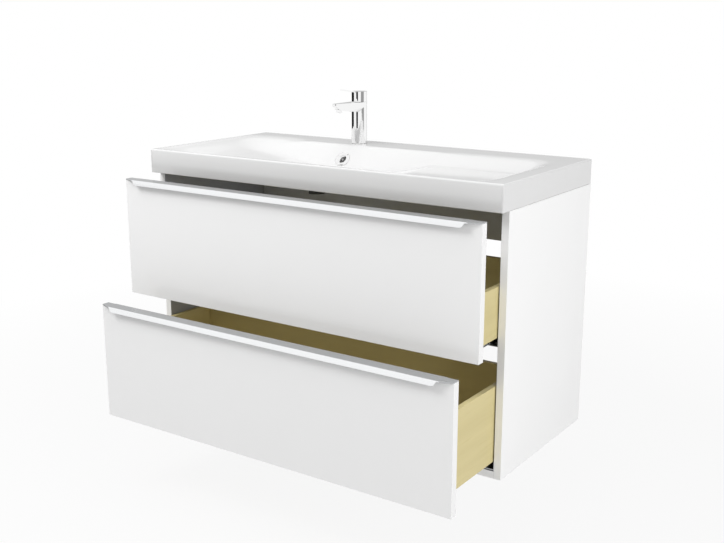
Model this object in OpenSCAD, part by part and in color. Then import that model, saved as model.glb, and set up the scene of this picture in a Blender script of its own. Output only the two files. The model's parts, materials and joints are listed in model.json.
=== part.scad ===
// Floating bathroom vanity: a wall-hung cabinet with two drawers, an inset-bowl basin and a lever tap.
// Frame: X to the right, -Y out into the room, +Z up. The wall is the plane Y = 0, and the origin
// is the centre of the four wall screws.

/* [Cabinet] */
// Width over the side panels and over the basin
cabinet_w = 1000; // [960:10:1100]
// Height of the cabinet without the basin
cabinet_h = 600; // [590:5:660]
// Depth of the side panels, from the wall to their front edge
cabinet_d = 430; // [420:5:460]
// Thickness of the side panels and the bottom panel
panel_t = 17; // [16:0.5:18]
// Height of the cabinet's top edge above the line of the wall screws
hang_drop = 50; // [48:1:56]
// Height of the rear rail
rail_h = 160; // [150:2:166]
// Thickness of the rear rail
rail_t = 16; // [15:0.5:18]
// Gap between the rear rail and the wall
rail_setback = 18; // [16:1:22]

/* [Cabinet fittings] */
// Radius of the wooden dowels
dowel_r = 4; // [3:0.5:5]
// Length of the wooden dowels
dowel_l = 30; // [26:1:34]
// Depth of the holes that are drilled into a side panel for dowels and cam bolts
panel_hole_depth = 11; // [9:0.5:12]
// Radius of the cam housings
cam_r = 7.5; // [7:0.25:8]
// Depth of the cam housings
cam_depth = 12; // [10:0.5:12.5]
// Distance of the cam centres from the board's end
cam_reach = 34; // [28:1:38]
// Radius of the cam bolts
cam_bolt_r = 3; // [2.5:0.25:3.5]

/* [Hangers] */
// Width of the hanger housings, across the cabinet
hanger_w = 22; // [20:1:26]
// Length of the hanger housings, along the side panel
hanger_l = 54; // [50:1:60]
// Height of the hanger housings
hanger_h = 46; // [44:1:47]
// Wall of the hanger housings
hanger_wall = 2.5; // [2:0.25:3]
// Thickness of the hook's steel
hook_t = 4; // [3:0.5:5]
// Width of a wall plate
plate_w = 56; // [50:1:60]
// Height of a wall plate
plate_h = 44; // [40:1:46]
// Thickness of a wall plate
plate_t = 2.5; // [2:0.25:3]
// Radius of the wall screw holes
wall_hole_r = 3.25; // [2.5:0.25:4]
// Height between the two screw holes of a plate
wall_hole_spacing = 24; // [20:1:28]

/* [Drawers] */
// Thickness of the drawer fronts
front_t = 19; // [17:0.5:22]
// Gap between the basin and the upper handle
top_gap = 5; // [4:0.5:8]
// Gap between the upper front and the lower handle
mid_gap = 8; // [6:0.5:12]
// Gap between a closed front and the cabinet
front_gap = 1; // [1:0.5:3]
// Thickness of the drawer sides and backs
drawer_t = 12; // [10:0.5:13]
// Length of the drawer boxes
drawer_l = 343; // [333:1:350]
// Height of the upper drawer's sides
upper_side_h = 114; // [100:1:120]
// Height of the lower drawer's sides
lower_side_h = 176; // [150:1:190]
// Gap between a drawer side and the side panel
drawer_gap = 3; // [2.5:0.5:4]
// Thickness of the drawer bottoms
bottom_t = 8; // [6:0.5:10]
// Depth of the grooves that hold the drawer bottoms
groove_d = 5; // [4:0.5:6]
// Height of the drawer bottom above the lower edge of the sides
bottom_rise = 13; // [13:0.5:15]
// Width of the cut-out in the upper drawer that leaves room for a trap
cutout_w = 180; // [150:5:220]
// Wall of the cut-out's surround
surround_t = 10; // [8:0.5:12]
// How far the upper drawer stands open
upper_open = 98; // [0:1:200]
// How far the lower drawer stands open
lower_open = 198; // [0:1:200]

/* [Runners] */
// Length of the cabinet members
runner_l = 350; // [340:5:360]
// Length of the middle and drawer members
slide_l = 330; // [320:5:335]
// Space below a drawer side for its runner
runner_space = 22; // [21:0.5:26]
// Sheet thickness of the runners
runner_t = 1.5; // [1.2:0.1:1.6]
// Width of the middle members
middle_w = 15.6; // [14:0.2:16]
// Sliding gap between the members, up and down
slide_gap = 0.3; // [0.2:0.1:0.5]

/* [Handles] */
// Thickness of the handle profile
handle_t = 2; // [1.5:0.5:3]
// How far the handle's lip stands out from the front
lip_reach = 13; // [10:1:18]
// Height of the handle's lip
lip_drop = 12; // [9:0.5:14]
// Length of the slanted end of the lip
lip_slant = 34; // [20:1:50]
// Height of the leg behind the front
leg_h = 20; // [16:1:24]
// Thickness of the leg behind the front
leg_t = 1.5; // [1:0.25:2]

/* [Basin] */
// Overhang of the basin in front of the side panels
basin_overhang = 30; // [22:1:40]
// Height of the basin's rim
basin_h = 60; // [55:1:70]
// Thickness of the ceramic
basin_t = 12; // [10:0.5:13]
// Thickness of the basin's outer skirt
skirt_t = 10; // [9:0.5:12]
// Radius of the basin's upright corners
basin_corner_r = 3; // [2:0.5:10]
// Width of the ledge behind the bowl
ledge_d = 110; // [104:1:118]
// Width of the front rim
rim_front = 20; // [16:1:26]
// Width of the left rim
rim_left = 25; // [20:1:35]
// Width of the right rim
rim_right = 62; // [50:1:75]
// Depth of the shelf beside the bowl
shelf_depth = 28; // [24:1:30]
// Depth at the foot of the bowl's walls
trough_depth = 54; // [50:1:56]
// Depth of the bowl at the waste
bowl_depth = 68; // [66:1:72]
// Place of the bowl's centre line, measured from the cabinet's centre line
bowl_x = -129; // [-160:1:-100]
// Distance of the waste from the wall
drain_from_wall = 250; // [245:1:262]
// Distance of the shelf's edge from the bowl's centre line
shelf_edge = 284; // [260:1:310]
// Depth of the overflow's centre below the rim
overflow_drop = 35; // [34:1:39]

/* [Tap] */
// Radius of the tap's body
tap_r = 21; // [20:0.5:22]
// Distance of the tap from the wall
tap_from_wall = 61; // [48:1:66]
// Height of the tap's body
tap_h = 109; // [95:1:130]
// Height of the lever cap
cap_h = 26.4; // [24:0.2:30]
// Reach of the spout, from the tap's axis to its tip
spout_reach = 116; // [112:1:140]
// Height of the spout at its root
spout_h = 25; // [20:1:30]
// Distance of the aerator from the tap's axis
aerator_reach = 91; // [80:1:94]
// Radius of the aerator
aerator_r = 8; // [7:0.25:8.5]
// Tilt of the aerator towards the room, in degrees
aerator_tilt = 12; // [0:1:15]
// Reach of the lever plate, from the tap's axis to its tip
lever_reach = 78; // [60:1:100]
// Thickness of the lever plate
lever_t = 3; // [2:0.5:4]
// Radius of the hole in the basin for the tap
tap_hole_r = 17.5; // [16.5:0.25:18]
// Radius of the tap's water inlets
inlet_r = 4.5; // [4:0.25:5]

/* [Waste] */
// Radius of the waste's flange
waste_flange_r = 31.5; // [30:0.5:35]
// Outer radius of the waste's threaded body
waste_r = 21; // [20:0.5:22]
// Length of the waste's body below its flange
waste_l = 40; // [36:1:60]
// How far the plug rises
plug_lift = 8; // [6:0.5:9]
// Radius of the overflow ring
overflow_r = 20.5; // [18:0.5:21]
// Radius of the overflow's hole
overflow_hole_r = 8.5; // [7:0.5:9.5]
// Space around the waste that the upper drawer leaves free
trap_space = 60; // [50:1:70]

/* [Hidden] */
$fn = 48;
hull_fn = 32;

// Small values that several pieces share
eps = 0.01;
over = 1;             // how far a cutter runs past the face it opens
fit_gap = 0.05;       // radial clearance of a pin in its hole
seat_gap = 0.3;       // gap between moving faces that rest on each other

// Cabinet
half_w = cabinet_w / 2;
inner_x = half_w - panel_t;
cam_x = inner_x - cam_reach;
cabinet_top = hang_drop;
cabinet_bottom = cabinet_top - cabinet_h;
rail_bottom = cabinet_top - rail_h;
rail_back_y = -rail_setback;
rail_front_y = rail_back_y - rail_t;

// Joints of the carcass: distances from the panels' front edge, then below the rail's top edge
dowel_set_y = [60, 350];
cam_set_y = [110, 300];
cam_slot = [5, 0.8, 2];      // half length, half width and depth of the screwdriver slot
rail_dowel_drop = [42, 140];
rail_cam_drop = 80;

// Basin
basin_d = cabinet_d + basin_overhang;
basin_top = cabinet_top + basin_h;
basin_front_y = -basin_d;
drain_y = -drain_from_wall;
tap_y = -tap_from_wall;
ledge_under = basin_top - basin_t - 2;
recess_x0 = -half_w + rim_left;
recess_x1 = half_w - rim_right;
recess_y0 = basin_front_y + rim_front;
recess_y1 = -ledge_d;
wall_run = shelf_depth;         // the front and right walls of the recess fall at 45 degrees
left_run = 62;                  // the left wall is a gentle slope
rear_run = 36;                  // the wall behind the shelf is flatter
rear_ratio = 0.78;              // the wall behind the bowl is steeper: run over depth
shelf_z = basin_top - shelf_depth;
trough_z = basin_top - trough_depth;
bowl_z = basin_top - bowl_depth;
shelf_x = bowl_x + shelf_edge;
floor_y1 = recess_y1 - rear_run;
floor_y0 = recess_y0 + wall_run;
trough_y1 = recess_y1 - rear_ratio * trough_depth;
trough_y0 = recess_y0 + trough_depth;
trough_x0 = bowl_x - 86;
trough_x1 = bowl_x + 150;
strip = 60;                     // length of the outlines that only carry one end of the bowl
drain_flat_r = 42;

// Drawers
front_back_y = -(cabinet_d + front_gap);
front_face_y = front_back_y - front_t;
front_h = (cabinet_h - top_gap - mid_gap) / 2;
upper_top = cabinet_top - top_gap;
upper_base = upper_top - front_h;
lower_top = upper_base - mid_gap;
lower_base = cabinet_bottom;
upper_side_z = upper_base + runner_space;
lower_side_z = cabinet_bottom + panel_t + runner_space;
side_out_x = inner_x - drawer_gap;
side_in_x = side_out_x - drawer_t;
back_out_y = front_back_y + drawer_l;
back_in_y = back_out_y - drawer_t;
cutout_y = drain_y - trap_space;
cutout_x0 = bowl_x - cutout_w / 2;
cutout_x1 = bowl_x + cutout_w / 2;

// Runners: distances inwards from the side panel
runner_y = -cabinet_d + 2;
runner_drop = runner_space - 2;
channel_d0 = 20;
side_gap = 0.7;         // sliding gap between the members, to each side
channel_d1 = channel_d0 + 2 * (runner_t + side_gap) + middle_w;
channel_h = 12;
cover_gap = 1;
cover_lap = 4;          // how far the cover's flanges reach past the channel's edge
middle_setback = 8;
runner_screw_y = [37, 165, 293];
runner_screw_r = 1.9;
runner_screw_l = 13;
runner_head_r = 3.5;
runner_head_h = 1.6;
runner_screw_drop = 10;
member_base = runner_drop - runner_t - slide_gap;
member_top = bottom_rise - runner_t;

// Handle
lip_x = half_w - lip_slant;
leg_x = inner_x - 8;
handle_screw_x = [-400, -200, 0, 200, 400];
handle_screw_r = 1.6;
handle_screw_l = 12;
handle_head_r = 3.2;
handle_head_h = 1.5;
lip_corner = 6;

// Clips under the drawer bottoms
clip_x = [-30, 0];
clip_l = 42;
clip_h = 9;
tongue_x = [-38, -12];
tongue_y = [3, 12];
tongue_h = 5;

// Tap, above the basin's ledge
gasket_t = 1;
gasket_inset = 0.8;
tap_base_z = basin_top + gasket_t;
tap_top = basin_top + tap_h;
tap_bore_r = tap_r - 4;
cap_gap = 0.6;
cap_z = tap_top + cap_gap;
cap_top = cap_z + cap_h;
cap_wall = 3;
cartridge_z = tap_top - 49;
cartridge_h = 32;
cartridge_nut_h = 12;
spindle_seat = cartridge_z + cartridge_h + cartridge_nut_h + seat_gap;
spindle_r = tap_bore_r - 4;
stem_r = 6;
spindle_low = 10;       // where the spindle ends in the cartridge
spindle_above = 7;      // how far it rises above the lever's pin
pivot_back = 9;
pivot_z = tap_top + 6;
pivot_r = 1.5;
lift_deg = 22;
lever_rise = 9;
tip_r = 6;
tip_rise = 1.5;         // how far the spout's top rises towards its tip
spout_side = 12;        // height of the spout's upright sides, above its slanted ones
spout_slant = 9;        // how much narrower the spout's root is at the bottom
aerator_step = 1.5;
aerator_drop = 6;       // how far the aerator hangs below the spout's mouth
stud_r = 4;
stud_back = 9;
inlet_x = 7.5;
inlet_y = -4;
inlet_l = 12;
chamber_step = 1;       // how much wider than its inlet each water chamber is
stud_hole = 10;         // depth of the stud's hole in the body
clamp_t = 3;
clamp_notch = 12;       // half width of the notch that the hoses pass
stud_nut_h = 8;
screw_up = 16;          // height of the lever's screw in the cap

// Waste
flange_t = 3;
plug_t = 5;
plug_stem_r = 3;
waste_wall = 3;
waste_hole_r = waste_r + 1.5;
bowl_under = bowl_z - basin_t;
waste_bottom = bowl_z - waste_l;
seal_t = 3;
waste_nut_h = 8;
waste_nut_z = bowl_under - seal_t - waste_nut_h;
groove_h = 1.5;                 // run-out groove between the nut's thread and the trap's
groove_depth = 0.8;
groove_z = waste_nut_z - 2;
guide_z = bowl_z - 20;          // underside of the cross that guides the plug's stem
guide_h = 5;
guide_half = 2;
slot_w = 10;                    // slots that let the overflow's water into the waste
slot_z = bowl_z - basin_t / 2;
slot_h = 7;

// Hangers
plate_x = inner_x - 1 - plate_w / 2;
hook_x = inner_x - hanger_w / 2;
lip_y = -10;
hook_z = plate_h / 2 + 4;
hook_h = 10;
hanger_top = cabinet_top - 2;
hanger_z = hanger_top - hanger_h;
hanger_y = rail_front_y - seat_gap;
block_l = 14;
adjust_r = 3;
adjust_l = 27;
adjust_head_r = 5;
adjust_head_h = 3;
adjust_low = 10;            // height of the lower adjusting screw in its housing
block_inset = 14;
block_half = 6;
foot_half = 3;
foot_d = 8;
hook_tip_y = -plate_t - 0.7;
hook_slot = 3;              // room around the hook in the rail

// A box between two corners
module slab(x, y, z) {
    translate([x[0], y[0], z[0]]) cube([x[1] - x[0], y[1] - y[0], z[1] - z[0]]);
}
// The same thing on the right and, mirrored, on the left
module both() {
    children();
    mirror([1, 0, 0]) children();
}
module rod_x(x, y, z, r) {
    translate([x[0], y, z]) rotate([0, 90, 0]) cylinder(r = r, h = x[1] - x[0]);
}
module rod_y(x, y, z, r) {
    translate([x, y[0], z]) rotate([-90, 0, 0]) cylinder(r = r, h = y[1] - y[0]);
}
module rod_z(x, y, z, r) {
    translate([x, y, z[0]]) cylinder(r = r, h = z[1] - z[0]);
}
module ring_z(x, y, z, r_out, r_in) {
    difference() {
        rod_z(x, y, z, r_out);
        rod_z(x, y, [z[0] - over, z[1] + over], r_in);
    }
}

// ---------- cabinet ----------

// Places of the dowels and cam bolts on the right-hand joints, as [y, z]
dowel_seats = concat(
    [for (d = dowel_set_y) [-cabinet_d + d, cabinet_bottom + panel_t / 2]],
    [for (d = rail_dowel_drop) [rail_front_y + rail_t / 2, cabinet_top - d]]);
bolt_seats = concat(
    [for (d = cam_set_y) [-cabinet_d + d, cabinet_bottom + panel_t / 2]],
    [[rail_front_y + rail_t / 2, cabinet_top - rail_cam_drop]]);

module side_panel() {
    color("white") difference() {
        slab([inner_x, half_w], [-cabinet_d, 0], [cabinet_bottom, cabinet_top]);
        for (s = dowel_seats)
            rod_x([inner_x - over, inner_x + panel_hole_depth], s[0], s[1], dowel_r + fit_gap);
        for (s = bolt_seats)
            rod_x([inner_x - over, inner_x + panel_hole_depth], s[0], s[1], cam_bolt_r + fit_gap);
        for (z = [upper_side_z, lower_side_z], y = runner_screw_y)
            rod_x([inner_x - over, inner_x + runner_screw_l + over / 2], runner_y + y,
                z - runner_screw_drop, runner_screw_r + fit_gap);
    }
}
module side_panel_right() { side_panel(); }
module side_panel_left() { mirror([1, 0, 0]) side_panel(); }

// Holes for dowels, bolts and cams in the right-hand end of a board
module end_holes(seats, bolts) {
    for (s = seats)
        rod_x([inner_x - dowel_l + panel_hole_depth - over, inner_x + over], s[0], s[1],
            dowel_r + fit_gap);
    for (s = bolts)
        rod_x([cam_x, inner_x + over], s[0], s[1], cam_bolt_r + 1);
}
module bottom_panel() {
    seats = [for (i = [0, 1]) dowel_seats[i]];
    bolts = [for (i = [0, 1]) bolt_seats[i]];
    color("white") difference() {
        slab([-inner_x, inner_x], [-cabinet_d, 0], [cabinet_bottom, cabinet_bottom + panel_t]);
        both() {
            end_holes(seats, bolts);
            for (s = bolts)
                rod_z(cam_x, s[0], [s[1] + panel_t / 2 - cam_depth, s[1] + panel_t / 2 + over],
                    cam_r + fit_gap);
        }
    }
}
module rear_rail() {
    seats = [for (i = [2, 3]) dowel_seats[i]];
    bolt = bolt_seats[2];
    color("gray") difference() {
        slab([-inner_x, inner_x], [rail_front_y, rail_back_y], [rail_bottom, cabinet_top]);
        both() {
            end_holes(seats, [bolt]);
            rod_y(cam_x, [rail_back_y - cam_depth, rail_back_y + over], bolt[1], cam_r + fit_gap);
            slab([hook_x - hook_t, hook_x + hook_t], [rail_front_y - over, rail_back_y + over],
                [hook_z - hook_slot, hook_z + hook_h + hook_slot]);
        }
    }
}
module carcass_dowels() {
    color("burlywood") both() for (s = dowel_seats)
        rod_x([inner_x - dowel_l + panel_hole_depth, inner_x + panel_hole_depth], s[0], s[1], dowel_r);
}
module cam_bolts() {
    color("silver") both() for (s = bolt_seats)
        rod_x([cam_x + 2, inner_x + panel_hole_depth], s[0], s[1], cam_bolt_r);
}
module cam_housings() {
    rail_bolt = bolt_seats[2];
    color("gray") both() {
        for (i = [0, 1]) difference() {
            s = bolt_seats[i];
            rod_z(cam_x, s[0], [s[1] + panel_t / 2 - cam_depth, s[1] + panel_t / 2], cam_r);
            rod_x([cam_x, inner_x], s[0], s[1], cam_bolt_r + fit_gap);
            slab([cam_x - cam_slot[0], cam_x + cam_slot[0]], [s[0] - cam_slot[1], s[0] + cam_slot[1]],
                [s[1] + panel_t / 2 - cam_slot[2], s[1] + panel_t / 2 + over]);
        }
        difference() {
            rod_y(cam_x, [rail_back_y - cam_depth, rail_back_y], rail_bolt[1], cam_r);
            rod_x([cam_x, inner_x], rail_bolt[0], rail_bolt[1], cam_bolt_r + fit_gap);
            slab([cam_x - cam_slot[0], cam_x + cam_slot[0]],
                [rail_back_y - cam_slot[2], rail_back_y + over],
                [rail_bolt[1] - cam_slot[1], rail_bolt[1] + cam_slot[1]]);
        }
    }
}

// ---------- hangers ----------

module hanger_housing() {
    difference() {
        slab([inner_x - hanger_w, inner_x], [hanger_y - hanger_l, hanger_y], [hanger_z, hanger_top]);
        slab([inner_x - hanger_w + hanger_wall, inner_x - hanger_wall],
            [hanger_y - hanger_l + hanger_wall, hanger_y + over],
            [hanger_z + hanger_wall, hanger_top - hanger_wall]);
        for (z = [hook_z + hook_h / 2, hanger_z + adjust_low])
            rod_y(hook_x, [hanger_y - hanger_l - over, hanger_y - hanger_l + hanger_wall + over], z,
                adjust_r + fit_gap);
    }
}
module hanger_housings() { color("whitesmoke") both() hanger_housing(); }

// The hook: a bar that reaches through the rail and drops behind the lip of the wall plate
module hanger_hook() {
    y_block = hanger_y - hanger_l + block_inset;
    blade = [hook_x - hook_t / 2, hook_x + hook_t / 2];
    difference() {
        union() {
            slab(blade, [y_block, hook_tip_y], [hook_z, hook_z + hook_h]);
            slab(blade, [lip_y + plate_t + seat_gap, hook_tip_y], [plate_h / 2 + seat_gap, hook_z + eps]);
            slab([hook_x - block_half, hook_x + block_half], [y_block, y_block + block_l],
                [hook_z - 1, hook_z + hook_h + 1]);
            slab([hook_x - foot_half, hook_x + foot_half], [y_block, y_block + foot_d],
                [hanger_z + hanger_wall + seat_gap, hook_z]);
        }
        rod_y(hook_x, [y_block - over, y_block + block_l + over], hook_z + hook_h / 2, adjust_r + fit_gap);
    }
}
module hanger_hooks() { color("silver") both() hanger_hook(); }

module hanger_screw(z, length) {
    y0 = hanger_y - hanger_l;
    cross_y = [y0 - adjust_head_h - over, y0 - adjust_head_h / 2];
    difference() {
        union() {
            rod_y(hook_x, [y0, y0 + length], z, adjust_r);
            rod_y(hook_x, [y0 - adjust_head_h, y0], z, adjust_head_r);
        }
        slab([hook_x - 0.6, hook_x + 0.6], cross_y, [z - 3.5, z + 3.5]);
        slab([hook_x - 3.5, hook_x + 3.5], cross_y, [z - 0.6, z + 0.6]);
    }
}
module hanger_screws() {
    color("gray") both() {
        hanger_screw(hook_z + hook_h / 2, adjust_l);
        hanger_screw(hanger_z + adjust_low, block_inset - seat_gap);
    }
}
module wall_plate() {
    x = [plate_x - plate_w / 2, plate_x + plate_w / 2];
    difference() {
        union() {
            slab(x, [-plate_t, 0], [-plate_h / 2, plate_h / 2]);
            slab(x, [lip_y, 0], [plate_h / 2 - plate_t, plate_h / 2]);
            slab(x, [lip_y, lip_y + plate_t], [plate_h / 2 - eps, hook_z]);
        }
        for (z = [-wall_hole_spacing / 2, wall_hole_spacing / 2])
            rod_y(plate_x, [-plate_t - over, over], z, wall_hole_r);
    }
}
module wall_plates() { color("silver") both() wall_plate(); }

// ---------- runners: s is the height of the drawer side's lower edge ----------

module cabinet_runner(s) {
    y = [runner_y, runner_y + runner_l];
    z0 = s - runner_drop;
    difference() {
        union() {
            slab([inner_x - runner_t, inner_x], y, [z0, s - 1]);
            slab([inner_x - channel_d1, inner_x], y, [z0, z0 + runner_t]);
            slab([inner_x - channel_d0 - runner_t, inner_x - channel_d0], y, [z0, z0 + channel_h]);
            slab([inner_x - channel_d1, inner_x - channel_d1 + runner_t], y, [z0, z0 + channel_h]);
        }
        for (d = runner_screw_y)
            rod_x([inner_x - runner_t - over, inner_x + over], runner_y + d, s - runner_screw_drop,
                runner_screw_r + 0.2);
    }
}
module upper_cabinet_runners() { color("lightgray") both() cabinet_runner(upper_side_z); }
module lower_cabinet_runners() { color("lightgray") both() cabinet_runner(lower_side_z); }

module runner_screws() {
    color("silver") both() for (s = [upper_side_z, lower_side_z], d = runner_screw_y) {
        rod_x([inner_x - runner_t, inner_x + runner_screw_l], runner_y + d, s - runner_screw_drop,
            runner_screw_r);
        rod_x([inner_x - runner_t - runner_head_h, inner_x - runner_t], runner_y + d, s - runner_screw_drop,
            runner_head_r);
    }
}
// The middle member is a thin box between the channel and the cover
module middle_runner(s, open) {
    x = [inner_x - channel_d1 + runner_t + side_gap, inner_x - channel_d0 - runner_t - side_gap];
    z = [s - member_base, s + member_top - slide_gap];
    y0 = runner_y + middle_setback - open / 2;
    y = [y0, y0 + slide_l];
    difference() {
        slab(x, y, z);
        slab([x[0] + runner_t, x[1] - runner_t], [y[0] - over, y[1] + over],
            [z[0] + runner_t, z[1] - runner_t]);
    }
}
module upper_middle_runners() { color("lightgray") both() middle_runner(upper_side_z, upper_open); }
module lower_middle_runners() { color("lightgray") both() middle_runner(lower_side_z, lower_open); }

// The drawer member is a cover under the drawer bottom
module drawer_runner(s, open) {
    x = [inner_x - channel_d1 - cover_gap - runner_t, inner_x - channel_d0 + cover_gap + runner_t];
    y = [front_back_y + 1 - open, front_back_y + 1 + slide_l - open];
    slab(x, y, [s + member_top, s + bottom_rise]);
    z = [s - runner_drop + channel_h - cover_lap, s + bottom_rise];
    slab([x[0], x[0] + runner_t], y, z);
    slab([x[1] - runner_t, x[1]], y, z);
}
module upper_drawer_runners() { color("lightgray") both() drawer_runner(upper_side_z, upper_open); }
module lower_drawer_runners() { color("lightgray") both() drawer_runner(lower_side_z, lower_open); }

// The clip holds the drawer to its runner, with a tongue that is squeezed to let go
module front_clip(s, open) {
    x1 = inner_x - channel_d1 - cover_gap - runner_t;
    y0 = front_back_y - open;
    z1 = s + bottom_rise;
    slab([x1 + clip_x[0], x1 + clip_x[1]], [y0, y0 + clip_l], [z1 - clip_h, z1]);
    slab([x1 + tongue_x[0], x1 + tongue_x[1]], [y0 + tongue_y[0], y0 + tongue_y[1]],
        [z1 - clip_h - tongue_h, z1 - clip_h]);
}
module upper_front_clips() { color("gray") both() front_clip(upper_side_z, upper_open); }
module lower_front_clips() { color("gray") both() front_clip(lower_side_z, lower_open); }

// ---------- drawers ----------

module drawer_front(base, open) {
    color("white") translate([0, -open, 0]) difference() {
        slab([-half_w, half_w], [front_face_y, front_back_y], [base, base + front_h - handle_t]);
        for (x = handle_screw_x)
            rod_y(x, [front_back_y - handle_screw_l - over / 2, front_back_y + over],
                base + front_h - leg_h / 2 - handle_t, handle_screw_r + fit_gap);
    }
}
module upper_front() { drawer_front(upper_base, upper_open); }
module lower_front() { drawer_front(lower_base, lower_open); }

// The handle is a profile along the top edge of the front. Its lip has slanted ends in plan
// and rounded lower corners.
module handle(top, open) {
    nose_y = front_face_y - lip_reach;
    color("silver") translate([0, -open, 0]) difference() {
        union() {
            translate([0, 0, top - handle_t]) linear_extrude(handle_t) polygon([
                [-half_w, front_back_y], [-half_w, front_face_y], [-lip_x, nose_y],
                [lip_x, nose_y], [half_w, front_face_y], [half_w, front_back_y]]);
            translate([0, nose_y + handle_t, 0]) rotate([90, 0, 0]) linear_extrude(handle_t) {
                polygon([
                    [-lip_x, top], [-lip_x, top - handle_t], [-lip_x + lip_corner, top - lip_drop + 2],
                    [-lip_x + lip_corner * 2, top - lip_drop], [lip_x - lip_corner * 2, top - lip_drop],
                    [lip_x - lip_corner, top - lip_drop + 2], [lip_x, top - handle_t], [lip_x, top]]);
            }
            slab([-leg_x, leg_x], [front_back_y, front_back_y + leg_t], [top - leg_h - handle_t, top]);
        }
        for (x = handle_screw_x)
            rod_y(x, [front_back_y - over, front_back_y + leg_t + over], top - leg_h / 2 - handle_t,
                handle_screw_r + 0.2);
    }
}
module upper_handle() { handle(upper_top, upper_open); }
module lower_handle() { handle(lower_top, lower_open); }

module handle_screws(top, open) {
    color("silver") translate([0, -open, top - leg_h / 2 - handle_t]) for (x = handle_screw_x) {
        rod_y(x, [front_back_y - handle_screw_l, front_back_y + leg_t], 0, handle_screw_r);
        rod_y(x, [front_back_y + leg_t, front_back_y + leg_t + handle_head_h], 0, handle_head_r);
    }
}
module upper_handle_screws() { handle_screws(upper_top, upper_open); }
module lower_handle_screws() { handle_screws(lower_top, lower_open); }

module drawer_side(s, h, open) {
    color("wheat") translate([0, -open, 0]) difference() {
        slab([side_in_x, side_out_x], [front_back_y, back_out_y], [s, s + h]);
        slab([side_in_x - over, side_in_x + groove_d], [front_back_y - over, back_out_y + over],
            [s + bottom_rise, s + bottom_rise + bottom_t]);
    }
}
module upper_side_right() { drawer_side(upper_side_z, upper_side_h, upper_open); }
module upper_side_left() { mirror([1, 0, 0]) drawer_side(upper_side_z, upper_side_h, upper_open); }
module lower_side_right() { drawer_side(lower_side_z, lower_side_h, lower_open); }
module lower_side_left() { mirror([1, 0, 0]) drawer_side(lower_side_z, lower_side_h, lower_open); }

module drawer_bottom(s) {
    slab([-side_in_x - groove_d, side_in_x + groove_d], [front_back_y, back_out_y],
        [s + bottom_rise, s + bottom_rise + bottom_t]);
}
module upper_bottom() {
    color("wheat") translate([0, -upper_open, 0]) difference() {
        drawer_bottom(upper_side_z);
        slab([cutout_x0, cutout_x1], [cutout_y, back_out_y + over],
            [upper_side_z + bottom_rise - over, upper_side_z + bottom_rise + bottom_t + over]);
    }
}
module lower_bottom() {
    color("wheat") translate([0, -lower_open, 0]) drawer_bottom(lower_side_z);
}
module drawer_back(x, s, h, open) {
    color("wheat") translate([0, -open, 0])
        slab(x, [back_in_y, back_out_y], [s + bottom_rise + bottom_t, s + h]);
}
module upper_back_left() {
    drawer_back([-side_in_x, cutout_x0 - surround_t], upper_side_z, upper_side_h, upper_open);
}
module upper_back_right() {
    drawer_back([cutout_x1 + surround_t, side_in_x], upper_side_z, upper_side_h, upper_open);
}
module lower_back() { drawer_back([-side_in_x, side_in_x], lower_side_z, lower_side_h, lower_open); }

// U-shaped wall around the cut-out, standing on the drawer bottom
module trap_surround() {
    z = [upper_side_z + bottom_rise + bottom_t, upper_side_z + upper_side_h];
    color("whitesmoke") translate([0, -upper_open, 0]) difference() {
        slab([cutout_x0 - surround_t, cutout_x1 + surround_t], [cutout_y - surround_t, back_out_y], z);
        slab([cutout_x0, cutout_x1], [cutout_y, back_out_y + over], [z[0] - over, z[1] + over]);
    }
}

// ---------- basin ----------

module rounded_plate(x, y, z, r) {
    translate([0, 0, z[0]]) linear_extrude(z[1] - z[0]) union() {
        translate([x[0] + r, y[0]]) square([x[1] - x[0] - 2 * r, y[1] - y[0]]);
        translate([x[0], y[0] + r]) square([x[1] - x[0], y[1] - y[0] - 2 * r]);
        for (cx = [x[0] + r, x[1] - r], cy = [y[0] + r, y[1] - r])
            translate([cx, cy]) circle(r);
    }
}
// A block that spans a list of rounded outlines, each given as [x0, x1, y0, y1, z, radius]
module funnel(outlines) {
    hull() for (o = outlines, x = [o[0] + o[5], o[1] - o[5]], y = [o[2] + o[5], o[3] - o[5]])
        translate([x, y, o[4]]) cylinder(r = o[5], h = eps, $fn = hull_fn);
}
// Grows outlines by g and moves them down by d
function grow(outlines, g, d) =
    [for (o = outlines) [o[0] - g, o[1] + g, o[2] - g, o[3] + g, o[4] - d, o[5] + g]];
rim_outlines = [
    [recess_x0, recess_x0 + strip, recess_y0, recess_y1, basin_top, 12],
    [recess_x1 - 2 * strip, recess_x1, recess_y0, recess_y1, basin_top, 50]];
shelf_outline = [recess_x0 + left_run, recess_x1 - wall_run, floor_y0, floor_y1, shelf_z, 22];
trough_outline = [trough_x0, trough_x1, trough_y0, trough_y1, trough_z, 34];
drain_outline = [
    bowl_x - drain_flat_r, bowl_x + drain_flat_r, drain_y - drain_flat_r, drain_y + drain_flat_r,
    bowl_z, drain_flat_r - eps];
// The bowl starts at the rim behind, at the level of the shelf on the left and on the right
bowl_outlines = [
    [recess_x0 + 3, shelf_x + 10, recess_y1 - strip, recess_y1, basin_top, 10],
    [recess_x0 + left_run, recess_x0 + left_run + strip, floor_y0, recess_y1 - rear_ratio * shelf_depth,
        shelf_z, 22],
    [shelf_x - strip, shelf_x, floor_y0, floor_y1, shelf_z, 22],
    trough_outline];
shell_g = basin_t * 0.75;
module at_overflow() {
    translate([bowl_x, recess_y1 - rear_ratio * overflow_drop, basin_top - overflow_drop])
        rotate([atan2(1, rear_ratio), 0, 0]) children();
}
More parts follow.
